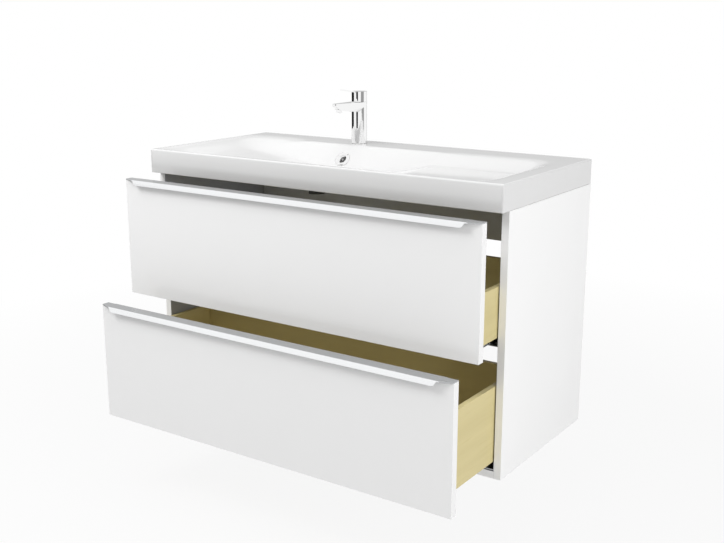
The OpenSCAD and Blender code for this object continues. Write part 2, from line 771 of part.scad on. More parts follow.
// The overflow's duct is cast under the bowl and ends in the wall of the waste's hole.
// d is its depth below the rim and s its distance in front of the recess's rear edge.
duct_w = 40;
duct_wall = 5;
duct_back = 12;                 // how far the duct reaches behind the recess's rear edge
duct_knee = 32;                 // where its rear wall meets its floor
duct_bottom = bowl_depth + basin_t + 16;
duct_end = -drain_y - ledge_d - waste_hole_r - 18;
function duct_point(s, d) = [recess_y1 - s, basin_top - d];
module duct(w, points) {
    translate([bowl_x - w / 2, 0, 0]) rotate([90, 0, 90]) linear_extrude(w)
        polygon([for (p = points) duct_point(p[0], p[1])]);
}
duct_top = overflow_drop - 11;
sleeve_wall = 3;
sleeve_r = overflow_hole_r + sleeve_wall;
wall_mid = basin_t * 0.5;
module duct_body() {
    duct(duct_w, [
        [rear_ratio * duct_top - wall_mid, duct_top], [-duct_back, duct_top],
        [-duct_back, overflow_drop + duct_wall], [duct_knee, duct_bottom], [duct_end, duct_bottom],
        [duct_end, bowl_depth + wall_mid],
        [rear_ratio * trough_depth, trough_depth + wall_mid]]);
}
module duct_cavity() {
    duct(duct_w - 2 * duct_wall, [
        [rear_ratio * duct_top - 2 * wall_mid, duct_top + duct_wall],
        [duct_wall - duct_back, duct_top + duct_wall],
        [duct_wall - duct_back, overflow_drop + duct_wall - 1],
        [duct_knee + 2, duct_bottom - duct_wall],
        [duct_end - duct_wall, duct_bottom - duct_wall], [duct_end - duct_wall, bowl_depth + basin_t],
        [rear_ratio * trough_depth - wall_mid, trough_depth + basin_t + 2]]);
    rod_y(bowl_x, [drain_y, recess_y1 - duct_end + duct_wall + 8], slot_z, slot_h / 2);
    rod_z(bowl_x, recess_y1 - duct_end + duct_wall + 4, [bowl_under - 4, slot_z], slot_h / 2);
}
module washbasin() {
    color("white") difference() {
        union() {
            difference() {
                rounded_plate([-half_w, half_w], [basin_front_y, 0], [cabinet_top, basin_top],
                    basin_corner_r);
                slab([-half_w + skirt_t, half_w - skirt_t], [basin_front_y + skirt_t, -skirt_t],
                    [cabinet_top - over, ledge_under]);
            }
            funnel(grow(concat(rim_outlines, [shelf_outline]), shell_g, basin_t));
            funnel(grow(bowl_outlines, shell_g, basin_t));
            funnel(grow([trough_outline, drain_outline], shell_g, basin_t));
            duct_body();
        }
        funnel(concat(grow(rim_outlines, over, -over), [shelf_outline]));
        funnel(bowl_outlines);
        funnel([trough_outline, drain_outline]);
        duct_cavity();
        rod_z(bowl_x, drain_y, [bowl_under - over, bowl_z + over], waste_hole_r);
        rod_z(bowl_x, tap_y, [ledge_under - over, basin_top + over], tap_hole_r);
        at_overflow() translate([0, 0, -28]) cylinder(r = overflow_hole_r + sleeve_wall + 0.5, h = 40);
    }
}
module overflow_ring() {
    color("silver") at_overflow() rotate_extrude() polygon([
        [overflow_hole_r, -12], [sleeve_r, -12], [sleeve_r, 0], [overflow_r, 0],
        [overflow_r, 1.5], [overflow_r - 4, 4], [sleeve_r, 2.5], [overflow_hole_r, -2]]);
}

// ---------- waste ----------

module waste_body() {
    color("silver") difference() {
        union() {
            rod_z(bowl_x, drain_y, [bowl_z, bowl_z + flange_t], waste_flange_r);
            rod_z(bowl_x, drain_y, [waste_bottom, bowl_z + eps], waste_r);
        }
        difference() {
            rod_z(bowl_x, drain_y, [waste_bottom - over, bowl_z + flange_t + over], waste_r - waste_wall);
            slab([bowl_x - waste_r, bowl_x + waste_r], [drain_y - guide_half, drain_y + guide_half],
                [guide_z, guide_z + guide_h]);
            slab([bowl_x - guide_half, bowl_x + guide_half], [drain_y - waste_r, drain_y + waste_r],
                [guide_z, guide_z + guide_h]);
            rod_z(bowl_x, drain_y, [guide_z, guide_z + guide_h], plug_stem_r + 3);
        }
        rod_z(bowl_x, drain_y, [guide_z - over, guide_z + guide_h + over], plug_stem_r + fit_gap);
        slab([bowl_x - waste_r - over, bowl_x + waste_r + over],
            [drain_y - slot_w / 2, drain_y + slot_w / 2], [slot_z - slot_h / 2, slot_z + slot_h / 2]);
        slab([bowl_x - slot_w / 2, bowl_x + slot_w / 2],
            [drain_y - waste_r - over, drain_y + waste_r + over],
            [slot_z - slot_h / 2, slot_z + slot_h / 2]);
        ring_z(bowl_x, drain_y, [groove_z, groove_z + groove_h], waste_r + over, waste_r - groove_depth);
    }
}
module waste_plug() {
    z0 = bowl_z + flange_t + seat_gap;
    color("silver") {
        translate([bowl_x, drain_y, z0]) rotate_extrude() polygon([
            [0, 0], [waste_flange_r - 3, 0], [waste_flange_r - 2, 1], [waste_flange_r - 3, 2.2],
            [waste_flange_r - 12, plug_t - 1], [0, plug_t]]);
        rod_z(bowl_x, drain_y, [guide_z - plug_lift - 2, z0 + eps], plug_stem_r);
    }
}
module waste_seal() {
    color("dimgray")
        ring_z(bowl_x, drain_y, [bowl_under - seal_t, bowl_under], waste_flange_r, waste_r + 0.2);
}
module waste_nut() {
    z = [waste_nut_z, waste_nut_z + waste_nut_h];
    color("whitesmoke") difference() {
        union() {
            rod_z(bowl_x, drain_y, [z[1] - 3, z[1]], waste_flange_r);
            translate([bowl_x, drain_y, z[0]]) cylinder(r = waste_flange_r - 1, h = waste_nut_h, $fn = 6);
        }
        rod_z(bowl_x, drain_y, [z[0] - over, z[1] + over], waste_r + fit_gap);
    }
}

// ---------- tap ----------

module at_tap() { translate([bowl_x, tap_y, 0]) children(); }

// Plan of the spout: a disc at the body and a small disc at the tip, joined by their tangents
module spout_plan(root_r) {
    reach = spout_reach - tip_r;
    a = asin((root_r - tip_r) / reach);
    circle(root_r - 0.02);
    translate([0, -reach]) circle(tip_r);
    polygon([
        [-root_r * cos(a), -root_r * sin(a)], [root_r * cos(a), -root_r * sin(a)],
        [tip_r * cos(a), -reach - tip_r * sin(a)], [-tip_r * cos(a), -reach - tip_r * sin(a)]]);
}
module spout() {
    z0 = tap_top - spout_h;
    intersection() {
        hull() {
            translate([0, 0, tap_top - spout_side])
                linear_extrude(spout_side + tip_rise + over) spout_plan(tap_r);
            translate([0, 0, z0 - over]) linear_extrude(1) spout_plan(tap_r - spout_slant);
        }
        rotate([90, 0, 90]) translate([0, 0, -tap_r - over]) linear_extrude(2 * tap_r + 2 * over) polygon([
            [tap_r, z0], [-tap_r, z0], [-aerator_reach + aerator_r, z0 + 7],
            [-aerator_reach - aerator_r, z0 + 11], [-spout_reach, tap_top + tip_rise - 2],
            [-spout_reach, tap_top + tip_rise], [-tap_r, tap_top], [tap_r, tap_top]]);
    }
}
module tap_body() {
    color("silver") at_tap() difference() {
        union() {
            rod_z(0, 0, [tap_base_z, tap_top], tap_r);
            spout();
        }
        rod_z(0, 0, [cartridge_z, tap_top + over], tap_bore_r);
        rod_z(0, stud_back, [tap_base_z - over, tap_base_z + stud_hole], stud_r + fit_gap);
        for (x = [-inlet_x, inlet_x]) {
            rod_z(x, inlet_y, [tap_base_z - over, tap_base_z + inlet_l], inlet_r);
            rod_z(x, inlet_y, [tap_base_z + inlet_l, cartridge_z + over], inlet_r + chamber_step);
        }
        rod_y(0, [-aerator_reach, 0], tap_top - spout_h / 2 - 1, 4);
        at_aerator() translate([0, 0, -aerator_r * 2])
            cylinder(r = aerator_r - aerator_step, h = aerator_r * 2 + 4);
    }
}
// The mouth of the spout, tilted towards the room
module at_aerator() {
    translate([0, -aerator_reach, tap_top - spout_h + 9]) rotate([-aerator_tilt, 0, 0]) children();
}
module tap_aerator() {
    color("silver") at_tap() at_aerator() difference() {
        union() {
            translate([0, 0, -aerator_drop]) cylinder(r = aerator_r - aerator_step - fit_gap, h = 9);
            translate([0, 0, -aerator_drop]) cylinder(r = aerator_r - 0.3, h = 3.6);
        }
        translate([0, 0, -aerator_drop - over]) cylinder(r = aerator_r - 2 * aerator_step, h = 3 + over);
    }
}
module tap_cartridge() {
    color("white") at_tap() difference() {
        rod_z(0, 0, [cartridge_z, cartridge_z + cartridge_h], tap_bore_r - fit_gap);
        rod_z(0, 0, [cartridge_z + spindle_low, cartridge_z + cartridge_h + over], stem_r + fit_gap);
    }
}
module tap_cartridge_nut() {
    z = [cartridge_z + cartridge_h, cartridge_z + cartridge_h + cartridge_nut_h];
    color("goldenrod") at_tap() ring_z(0, 0, z, tap_bore_r - fit_gap, stem_r + 3);
}
// The spindle turns in the cartridge and carries the cross pin on which the lever tilts
module tap_spindle() {
    pin_half = sqrt(tap_r * tap_r - pivot_back * pivot_back) - 1.5;
    color("silver") at_tap() {
        rod_z(0, 0, [cartridge_z + spindle_low + seat_gap, spindle_seat + eps], stem_r);
        rod_z(0, 0, [spindle_seat, pivot_z + spindle_above], spindle_r);
        rod_x([-pin_half, pin_half], pivot_back, pivot_z, pivot_r);
    }
}
module tap_lever() {
    pin_half = sqrt(tap_r * tap_r - pivot_back * pivot_back) - 1.3;
    plate_z = cap_top - lever_t;
    color("silver") at_tap() difference() {
        union() {
            rod_z(0, 0, [cap_z, cap_top], tap_r);
            rotate([90, 0, 90]) translate([0, 0, -6]) linear_extrude(12) polygon([
                [0, plate_z], [-tap_r + 2, plate_z], [-lever_reach, plate_z + lever_rise],
                [-lever_reach, cap_top + lever_rise], [-tap_r + 2, cap_top], [0, cap_top]]);
        }
        rod_z(0, 0, [cap_z - over, cap_top - cap_wall], tap_r - cap_wall);
        rod_x([-pin_half, pin_half], pivot_back, pivot_z, pivot_r + fit_gap);
        // the wedge that lets the back of the cap dip when the lever is lifted
        translate([0, pivot_back, pivot_z]) rotate([lift_deg, 0, 0])
            slab([-tap_r - over, tap_r + over], [-1, 2 * tap_r], [-20, -(pivot_z - tap_top) + seat_gap]);
        rod_y(0, [tap_r - cap_wall - over, tap_r + over], cap_z + screw_up, 2 + fit_gap);
    }
}
module tap_lever_screw() {
    color("gray") at_tap()
        rod_y(0, [tap_r - cap_wall - 0.5, tap_r - 0.8], cap_z + screw_up, 2);
}
module tap_gasket() {
    color("dimgray") at_tap() difference() {
        rod_z(0, 0, [basin_top, tap_base_z], tap_r - gasket_inset);
        rod_z(0, stud_back, [basin_top - over, tap_base_z + over], stud_r + 0.5);
        for (x = [-inlet_x, inlet_x]) rod_z(x, inlet_y, [basin_top - over, tap_base_z + over], inlet_r + 1);
    }
}
module tap_stud() {
    color("silver") at_tap()
        rod_z(0, stud_back, [ledge_under - clamp_t - 22, tap_base_z + stud_hole - seat_gap], stud_r);
}
module tap_clamp_plate() {
    color("gray") at_tap() difference() {
        rod_z(0, 0, [ledge_under - clamp_t, ledge_under], tap_hole_r + 3);
        slab([-clamp_notch, clamp_notch], [-tap_hole_r - 3 - over, 3],
            [ledge_under - clamp_t - over, ledge_under + over]);
        rod_z(0, stud_back, [ledge_under - clamp_t - over, ledge_under + over], stud_r + fit_gap);
    }
}
module tap_stud_nut() {
    z0 = ledge_under - clamp_t - stud_nut_h;
    color("goldenrod") at_tap() translate([0, stud_back, z0]) difference() {
        cylinder(r = stud_r + 3.5, h = stud_nut_h, $fn = 6);
        translate([0, 0, -over]) cylinder(r = stud_r + fit_gap, h = stud_nut_h + 2 * over);
    }
}

side_panel_left();
side_panel_right();
bottom_panel();
rear_rail();
carcass_dowels();
cam_housings();
cam_bolts();
hanger_housings();
hanger_hooks();
hanger_screws();
wall_plates();
upper_cabinet_runners();
lower_cabinet_runners();
runner_screws();
upper_middle_runners();
lower_middle_runners();
upper_front();
upper_handle();
upper_handle_screws();
upper_side_left();
upper_side_right();
upper_back_left();
upper_back_right();
upper_bottom();
trap_surround();
upper_drawer_runners();
upper_front_clips();
lower_front();
lower_handle();
lower_handle_screws();
lower_side_left();
lower_side_right();
lower_back();
lower_bottom();
lower_drawer_runners();
lower_front_clips();
washbasin();
overflow_ring();
waste_body();
waste_seal();
waste_nut();
waste_plug();
tap_gasket();
tap_body();
tap_aerator();
tap_cartridge();
tap_cartridge_nut();
tap_spindle();
tap_lever();
tap_lever_screw();
tap_stud();
tap_clamp_plate();
tap_stud_nut();
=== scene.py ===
# %% [markdown]
# # A floating vanity with a basin and a tap
#
# The cabinet hangs on a bathroom wall. It has white boards, an inside painted dark grey as shade, two
# stand-open drawers, metal handle profiles, a ceramic basin with a shelf beside its bowl, and a chrome tap.
# The measured solids come from the imported model, so this lesson is about looks: soft edges, glaze,
# grain, brushed and polished metal, and the light that shows them.

# %% Load the measured solids
import json
import math
import bmesh
import bpy
import numpy as np
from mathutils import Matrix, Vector

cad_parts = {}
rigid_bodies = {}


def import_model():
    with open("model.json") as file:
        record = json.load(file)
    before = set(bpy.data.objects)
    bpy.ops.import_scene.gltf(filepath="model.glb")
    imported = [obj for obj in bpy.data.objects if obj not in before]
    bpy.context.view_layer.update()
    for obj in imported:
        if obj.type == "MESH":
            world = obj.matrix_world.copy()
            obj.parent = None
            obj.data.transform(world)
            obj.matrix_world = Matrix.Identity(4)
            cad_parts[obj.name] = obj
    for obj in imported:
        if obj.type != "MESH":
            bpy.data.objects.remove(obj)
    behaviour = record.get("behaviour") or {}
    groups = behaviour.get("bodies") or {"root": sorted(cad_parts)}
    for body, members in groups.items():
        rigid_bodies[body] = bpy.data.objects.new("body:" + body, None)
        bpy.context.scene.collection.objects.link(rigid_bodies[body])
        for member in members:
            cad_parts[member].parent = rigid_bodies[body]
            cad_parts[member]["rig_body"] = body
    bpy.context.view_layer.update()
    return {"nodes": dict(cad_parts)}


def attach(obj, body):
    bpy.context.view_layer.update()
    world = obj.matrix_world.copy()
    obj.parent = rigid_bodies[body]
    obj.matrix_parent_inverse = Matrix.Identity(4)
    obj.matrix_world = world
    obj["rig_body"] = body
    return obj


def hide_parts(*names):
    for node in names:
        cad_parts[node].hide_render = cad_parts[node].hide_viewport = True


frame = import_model()

# %% [markdown]
# ## Camera
#
# The camera stands to the right of the vanity and a little above it. Its lens is a short telephoto,
# so the long fronts get only a gentle perspective. A camera looks along its own minus Z, and
# `to_track_quat` turns that axis towards the object while Y stays up.

# %% Camera
CAMERA_PLACE = (1.42772, -2.32241, 0.44628)
CAMERA_AZIMUTH, CAMERA_ELEVATION, LENS = 34.39, 14.08, 51.33

turn, drop = math.radians(CAMERA_AZIMUTH), math.radians(CAMERA_ELEVATION)
back = Vector((math.sin(turn) * math.cos(drop), -math.cos(turn) * math.cos(drop), math.sin(drop)))
camera = bpy.data.objects.new("camera", bpy.data.cameras.new("camera"))
camera.data.lens, camera.data.sensor_width = LENS, 36
camera.location = CAMERA_PLACE
camera.rotation_mode = "QUATERNION"
camera.rotation_quaternion = (-back).to_track_quat("-Z", "Y")
bpy.context.scene.collection.objects.link(camera)
bpy.context.scene.camera = camera
print("camera at", CAMERA_PLACE)

# %% [markdown]
# ## A short way to write node trees
#
# A material is a tree of nodes. Two helpers keep the trees readable: one adds a node, writes its
# values and links what comes from other nodes, and one starts a group with named inputs and
# outputs, so that several finishes can share one effect.

# %% Node helpers
def add(tree, kind, inputs=None, **settings):
    node = tree.nodes.new(kind)
    for key, value in settings.items():
        setattr(node, key, value)
    for key, value in (inputs or {}).items():
        if hasattr(value, "is_output"):
            tree.links.new(value, node.inputs[key])
        else:
            node.inputs[key].default_value = value
    return node


def new_group(name, inputs, outputs, kind="ShaderNodeTree"):
    tree = bpy.data.node_groups.new(name, kind)
    for label, socket, value in inputs:
        made = tree.interface.new_socket(label, in_out="INPUT", socket_type=socket)
        if value is not None:
            made.default_value = value
    for label, socket in outputs:
        tree.interface.new_socket(label, in_out="OUTPUT", socket_type=socket)
    return tree, tree.nodes.new("NodeGroupInput"), tree.nodes.new("NodeGroupOutput")


def grey(level):
    return (level, level, level, 1)


# %% [markdown]
# ## Shared effect 1: an uneven skin
#
# No lacquer, glaze or metal is equally smooth everywhere. A wide noise stands for wiping and
# handling, and a fine one for the grain of the skin itself. The stretch input pulls the noise along
# one axis, which turns specks into the brushing lines of a rolled or brushed metal.

# %% Uneven skin group
skin, skin_in, skin_out = new_group(
    "Uneven skin",
    [("Stretch", "NodeSocketVector", (1, 1, 1)), ("Grain", "NodeSocketFloat", 400.0),
     ("Roughness", "NodeSocketFloat", 0.3), ("Spread", "NodeSocketFloat", 0.05)],
    [("Roughness", "NodeSocketFloat"), ("Height", "NodeSocketFloat"), ("Cloud", "NodeSocketFloat")])
place = add(skin, "ShaderNodeTexCoord")
pulled = add(skin, "ShaderNodeVectorMath", operation="MULTIPLY", inputs={
    0: place.outputs["Object"], 1: skin_in.outputs["Stretch"]})
cloud = add(skin, "ShaderNodeTexNoise", inputs={"Vector": pulled.outputs[0], "Scale": 7.0, "Detail": 3.0})
fine = add(skin, "ShaderNodeTexNoise", inputs={
    "Vector": pulled.outputs[0], "Scale": skin_in.outputs["Grain"], "Detail": 2.0})
both = add(skin, "ShaderNodeMix", data_type="FLOAT", inputs={
    0: 0.35, 2: cloud.outputs[0], 3: fine.outputs[0]})
centred = add(skin, "ShaderNodeMath", operation="SUBTRACT", inputs={0: both.outputs[0], 1: 0.5})
spread = add(skin, "ShaderNodeMath", operation="MULTIPLY_ADD", inputs={
    0: centred.outputs[0], 1: skin_in.outputs["Spread"], 2: skin_in.outputs["Roughness"]})
skin.links.new(spread.outputs[0], skin_out.inputs["Roughness"])
skin.links.new(fine.outputs[0], skin_out.inputs["Height"])
skin.links.new(cloud.outputs[0], skin_out.inputs["Cloud"])
print("group:", skin.name)

# %% [markdown]
# ## Shared effect 2: wood figure
#
# The drawers are made of a pale wood with fine, straight grain. Two stretched noises give it: wide
# bands that come from the growth rings, and short dark pores. Stretching the coordinates along the
# board is what makes grain out of noise.

# %% Wood figure group
wood, wood_in, wood_out = new_group(
    "Wood figure",
    [("Stretch", "NodeSocketVector", (1, 1, 1)), ("Light", "NodeSocketColor", (0.75, 0.66, 0.36, 1)),
     ("Dark", "NodeSocketColor", (0.6, 0.5, 0.24, 1))],
    [("Color", "NodeSocketColor"), ("Height", "NodeSocketFloat"), ("Roughness", "NodeSocketFloat")])
place = add(wood, "ShaderNodeTexCoord")
pulled = add(wood, "ShaderNodeVectorMath", operation="MULTIPLY", inputs={
    0: place.outputs["Object"], 1: wood_in.outputs["Stretch"]})
bands = add(wood, "ShaderNodeTexNoise", inputs={
    "Vector": pulled.outputs[0], "Scale": 22.0, "Detail": 5.0, "Distortion": 0.4})
pores = add(wood, "ShaderNodeTexNoise", inputs={
    "Vector": pulled.outputs[0], "Scale": 160.0, "Detail": 3.0})
pore_dark = add(wood, "ShaderNodeMapRange", inputs={
    "Value": pores.outputs[0], "From Min": 0.56, "From Max": 0.7, "To Min": 0.0, "To Max": 0.55})
band_mix = add(wood, "ShaderNodeMapRange", inputs={
    "Value": bands.outputs[0], "From Min": 0.35, "From Max": 0.68, "To Min": 0.0, "To Max": 0.75})
figure = add(wood, "ShaderNodeMath", operation="MAXIMUM", inputs={
    0: pore_dark.outputs[0], 1: band_mix.outputs[0]})
tone = add(wood, "ShaderNodeMix", data_type="RGBA", inputs={
    0: figure.outputs[0], 6: wood_in.outputs["Light"], 7: wood_in.outputs["Dark"]})
rough = add(wood, "ShaderNodeMapRange", inputs={"Value": pores.outputs[0], "To Min": 0.42, "To Max": 0.6})
wood.links.new(tone.outputs[2], wood_out.inputs["Color"])
wood.links.new(pores.outputs[0], wood_out.inputs["Height"])
wood.links.new(rough.outputs[0], wood_out.inputs["Roughness"])
print("group:", wood.name)

# %% [markdown]
# ## Finishes
#
# Most finishes follow one pattern: a colour that drifts very slightly, a roughness from the uneven
# skin, and a faint bump. The function below builds it. Numbers that are the same all over, such as
# the coat or the metal value, are set on the shader itself.

# %% A finish from the uneven skin
def finish(name, color, roughness, spread=0.06, grain=400.0, stretch=(1, 1, 1), drift=0.02,
           bump=0.02, depth=0.0001, **shader):
    material = bpy.data.materials.new(name)
    material.use_nodes = True
    tree = material.node_tree
    surface = tree.nodes["Principled BSDF"]
    effect = add(tree, "ShaderNodeGroup", node_tree=skin, inputs={
        "Stretch": stretch, "Grain": grain, "Roughness": roughness, "Spread": spread})
    darker = tuple(max(c * (1 - drift), 0) for c in color[:3]) + (1,)
    tone = add(tree, "ShaderNodeMix", data_type="RGBA", inputs={
        0: effect.outputs["Cloud"], 6: color, 7: darker})
    relief = add(tree, "ShaderNodeBump", inputs={
        "Strength": bump, "Distance": depth, "Height": effect.outputs["Height"]})
    tree.links.new(tone.outputs[2], surface.inputs["Base Color"])
    tree.links.new(effect.outputs["Roughness"], surface.inputs["Roughness"])
    tree.links.new(relief.outputs[0], surface.inputs["Normal"])
    for key, value in shader.items():
        surface.inputs[key.replace("_", " ")].default_value = value
    material.diffuse_color = color
    return material


FINISHES = {
    "white_gloss": finish("white gloss lacquer", grey(0.87), 0.09, 0.03, 90, drift=0.01, bump=0.02,
                          Coat_Weight=0.4, Coat_Roughness=0.04),
    "ceramic": finish("white glaze", grey(0.71), 0.12, 0.04, 60, drift=0.015, bump=0.03,
                      Coat_Weight=0.5, Coat_Roughness=0.05),
    "chrome": finish("polished chrome", grey(0.92), 0.035, 0.02, 300, drift=0.02, bump=0.004,
                     Metallic=1.0),
    "handle": finish("bright aluminium", (0.92, 0.93, 0.94, 1), 0.12, 0.05, 900,
                     stretch=(0.03, 1, 1), drift=0.03, bump=0.03, Metallic=1.0),
    "runner_steel": finish("galvanised sheet", (0.60, 0.61, 0.62, 1), 0.36, 0.22, 250,
                           stretch=(1, 0.4, 1), drift=0.22, bump=0.05, Metallic=1.0),
    "zinc": finish("zinc plating", (0.68, 0.69, 0.70, 1), 0.28, 0.14, 600, drift=0.12, bump=0.05,
                   Metallic=1.0),
    "brass": finish("turned brass", (0.78, 0.58, 0.27, 1), 0.26, 0.12, 700, drift=0.1, bump=0.04,
                    Metallic=1.0),
    "white_plastic": finish("white moulded plastic", grey(0.78), 0.42, 0.1, 1500, drift=0.03,
                            bump=0.12),
    "grey_plastic": finish("grey moulded plastic", grey(0.13), 0.45, 0.12, 1500, drift=0.06, bump=0.15),
    "rubber": finish("black rubber", grey(0.025), 0.65, 0.15, 900, drift=0.15, bump=0.2),
    "pale_rubber": finish("clear rubber", grey(0.6), 0.4, 0.12, 900, drift=0.05, bump=0.1),
}
print("finishes:", len(FINISHES))

# %% [markdown]
# ### Two tones on one piece
#
# The side and bottom panels are white outside and on their edges, and dark grey inside: that grey
# is painted shade of the cabinet's closed inside. The handles are one metal profile of one finish,
# with a bright nose; the plate behind it is painted darker, a painted dark reflection. The waste is
# chrome in the bowl and plain dark plastic below the basin. Each of them has one material, so a
# mask on the piece's own coordinates chooses between its two tones.

# %% Two-tone finishes
def two_tone(name, material, axis, level, below=None, above=None, mirrored=False, metal_above=False):
    """A copy of a finish with another colour below or above a level on one axis."""
    material = material.copy()
    material.name = name
    tree = material.node_tree
    surface = tree.nodes["Principled BSDF"]
    place = add(tree, "ShaderNodeTexCoord")
    value = add(tree, "ShaderNodeSeparateXYZ", inputs={0: place.outputs["Object"]}).outputs[axis]
    if mirrored:
        value = add(tree, "ShaderNodeMath", operation="ABSOLUTE", inputs={0: value}).outputs[0]
    mask = add(tree, "ShaderNodeMath", operation="GREATER_THAN", inputs={0: value, 1: level})
    usual = surface.inputs["Base Color"].links[0].from_socket
    tone = add(tree, "ShaderNodeMix", data_type="RGBA", inputs={
        0: mask.outputs[0], 6: below or usual, 7: above or usual})
    tree.links.new(tone.outputs[2], surface.inputs["Base Color"])
    if metal_above:
        tree.links.new(mask.outputs[0], surface.inputs["Metallic"])
    return material


INNER_X, FLOOR_Z, FOIL = 0.483, -0.533, 0.0003
UPPER_NOSE, LOWER_NOSE, LIP_DEEP = -0.561, -0.661, 0.0036
BASIN_UNDER = 0.030
# The grey for the inner faces of the side and bottom panels is painted shade: the carcass inside is coloured
# dark so that it looks shaded.
INSIDE_PAINTED_SHADE, PLATE_PAINTED_REFLECTION, DARK_TAIL = (0.38, 0.39, 0.42, 1), (0.50, 0.51, 0.52, 1), grey(0.07)
white_foil = finish("white foil", grey(0.925), 0.34, 0.08, 700, drift=0.012, bump=0.05)
FINISHES.update({
    "side_board": two_tone("side panel foil with painted inside shade", white_foil, 0, INNER_X + FOIL, below=INSIDE_PAINTED_SHADE, mirrored=True),
    "bottom_board": two_tone("bottom panel foil with painted inside shade", white_foil, 2, FLOOR_Z - FOIL, above=INSIDE_PAINTED_SHADE),
    # The rear rail's grey is painted shade: the rail is coloured darker so that it looks shaded inside the
    # cabinet.
    "grey_board": finish("rail foil with painted shade", (0.62, 0.63, 0.66, 1), 0.4, 0.1, 700, drift=0.05, bump=0.08),
    # The handles' plate behind the bright nose is coloured darker as a painted dark reflection. The metal is
    # the same all over.
    "upper_handle": two_tone("upper handle metal with painted plate reflection", FINISHES["handle"], 1, UPPER_NOSE + LIP_DEEP,
                             above=PLATE_PAINTED_REFLECTION),
    "lower_handle": two_tone("lower handle metal with painted plate reflection", FINISHES["handle"], 1, LOWER_NOSE + LIP_DEEP,
                             above=PLATE_PAINTED_REFLECTION),
    "waste_metal": two_tone("chrome over dark plastic", FINISHES["chrome"], 2, BASIN_UNDER,
                            below=DARK_TAIL, metal_above=True),
})

# %% [markdown]
# ### Drawer wood
#
# The grain runs along each board: from front to back on the sides, and across on the backs and
# bottoms. The same group serves both, with the stretch turned.

# %% Wood finishes
def wood_finish(name, stretch, light, dark, bump=0.12):
    material = bpy.data.materials.new(name)
    material.use_nodes = True
    tree = material.node_tree
    surface = tree.nodes["Principled BSDF"]
    effect = add(tree, "ShaderNodeGroup", node_tree=wood, inputs={
        "Stretch": stretch, "Light": light, "Dark": dark})
    relief = add(tree, "ShaderNodeBump", inputs={
        "Strength": bump, "Distance": 0.0002, "Height": effect.outputs["Height"]})
    tree.links.new(effect.outputs["Color"], surface.inputs["Base Color"])
    tree.links.new(effect.outputs["Roughness"], surface.inputs["Roughness"])
    tree.links.new(relief.outputs[0], surface.inputs["Normal"])
    material.diffuse_color = light
    return material


PALE, STRIPE = (0.66, 0.57, 0.295, 1), (0.57, 0.485, 0.235, 1)
FINISHES["wood_deep"] = wood_finish("drawer wood, grain front to back", (1, 0.05, 1), PALE, STRIPE)
FINISHES["wood_wide"] = wood_finish("drawer wood, grain across", (0.05, 1, 1), PALE, STRIPE)
FINISHES["beech"] = wood_finish("beech", (0.1, 1, 1), (0.62, 0.42, 0.24, 1), (0.45, 0.28, 0.14, 1))
print("finishes:", len(FINISHES))

# %% [markdown]
# ## Soft edges for the measured solids
#
# A real board, sheet or casting has no knife edge: a narrow rounded arris catches the light and
# tells the eye how thick the piece is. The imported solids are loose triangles, so a copy of each is
# merged, its flat faces are joined again, and the sharp edges are bevelled. The copy then stands
# for the solid, at exactly its place.

# %% Helpers for meshes
def make_object(name, bm, material, sharp=32):
    mesh = bpy.data.meshes.new(name)
    bm.to_mesh(mesh)
    bm.free()
    mesh.polygons.foreach_set("use_smooth", [True] * len(mesh.polygons))
    mesh.set_sharp_from_angle(angle=math.radians(sharp))
    mesh.materials.append(material)
    made = bpy.data.objects.new(name, mesh)
    bpy.context.scene.collection.objects.link(made)
    return made


def merged_copy(node):
    bm = bmesh.new()
    bm.from_mesh(frame["nodes"][node].data)
    bmesh.ops.remove_doubles(bm, verts=bm.verts, dist=2e-6)
    bmesh.ops.dissolve_degenerate(bm, edges=bm.edges, dist=1e-6)
    return bm


# %% [markdown]
# ### The lip of a handle
#
# The front edge of each handle turns down into a lip with a soft shoulder, which is what draws the
# bright line. Level cuts give the lip rows of vertices, and each row then moves back by what a
# short curve says for its depth below the top.

# %% Round a handle's lip
HANDLE_SHEET = 0.002
LIP_CURVE = [(0.0, 3.6), (0.5, 2.3), (1.2, 1.75), (2.2, 1.4), (3.6, 0.9), (5.0, 0.4), (6.0, 0.08),
             (6.8, 0.0)]


def round_lip(bm):
    """Moves the lip's outer face back: the curve has depth and step in millimetres."""
    top, nose = max(v.co.z for v in bm.verts), min(v.co.y for v in bm.verts)

    def on_lip(face):
        middle = face.calc_center_median()
        on_edge = abs(middle.z - top + HANDLE_SHEET / 2) < 0.4 * HANDLE_SHEET
        return middle.y < nose + 1.25 * HANDLE_SHEET or on_edge and abs(face.normal.z) < 0.5

    for depth, _ in LIP_CURVE[1:]:
        lip = [f for f in bm.faces if on_lip(f)]
        edges = {e for f in lip for e in f.edges}
        verts = {v for f in lip for v in f.verts}
        bmesh.ops.bisect_plane(bm, geom=[*verts, *edges, *lip], dist=1e-6,
                               plane_co=(0, 0, top - depth / 1000), plane_no=(0, 0, 1))
    depths, steps = zip(*LIP_CURVE)
    for v in bm.verts:
        if v.co.y < nose + 1e-5:
            v.co.y = nose + float(np.interp((top - v.co.z) * 1000, depths, steps)) / 1000


# %% [markdown]
# ### Which solid gets which finish
#
# One table says it: the finish, the width of the rounded edge in millimetres, and the pieces. The
# dressed copy rides on the body of its solid and stands for it.

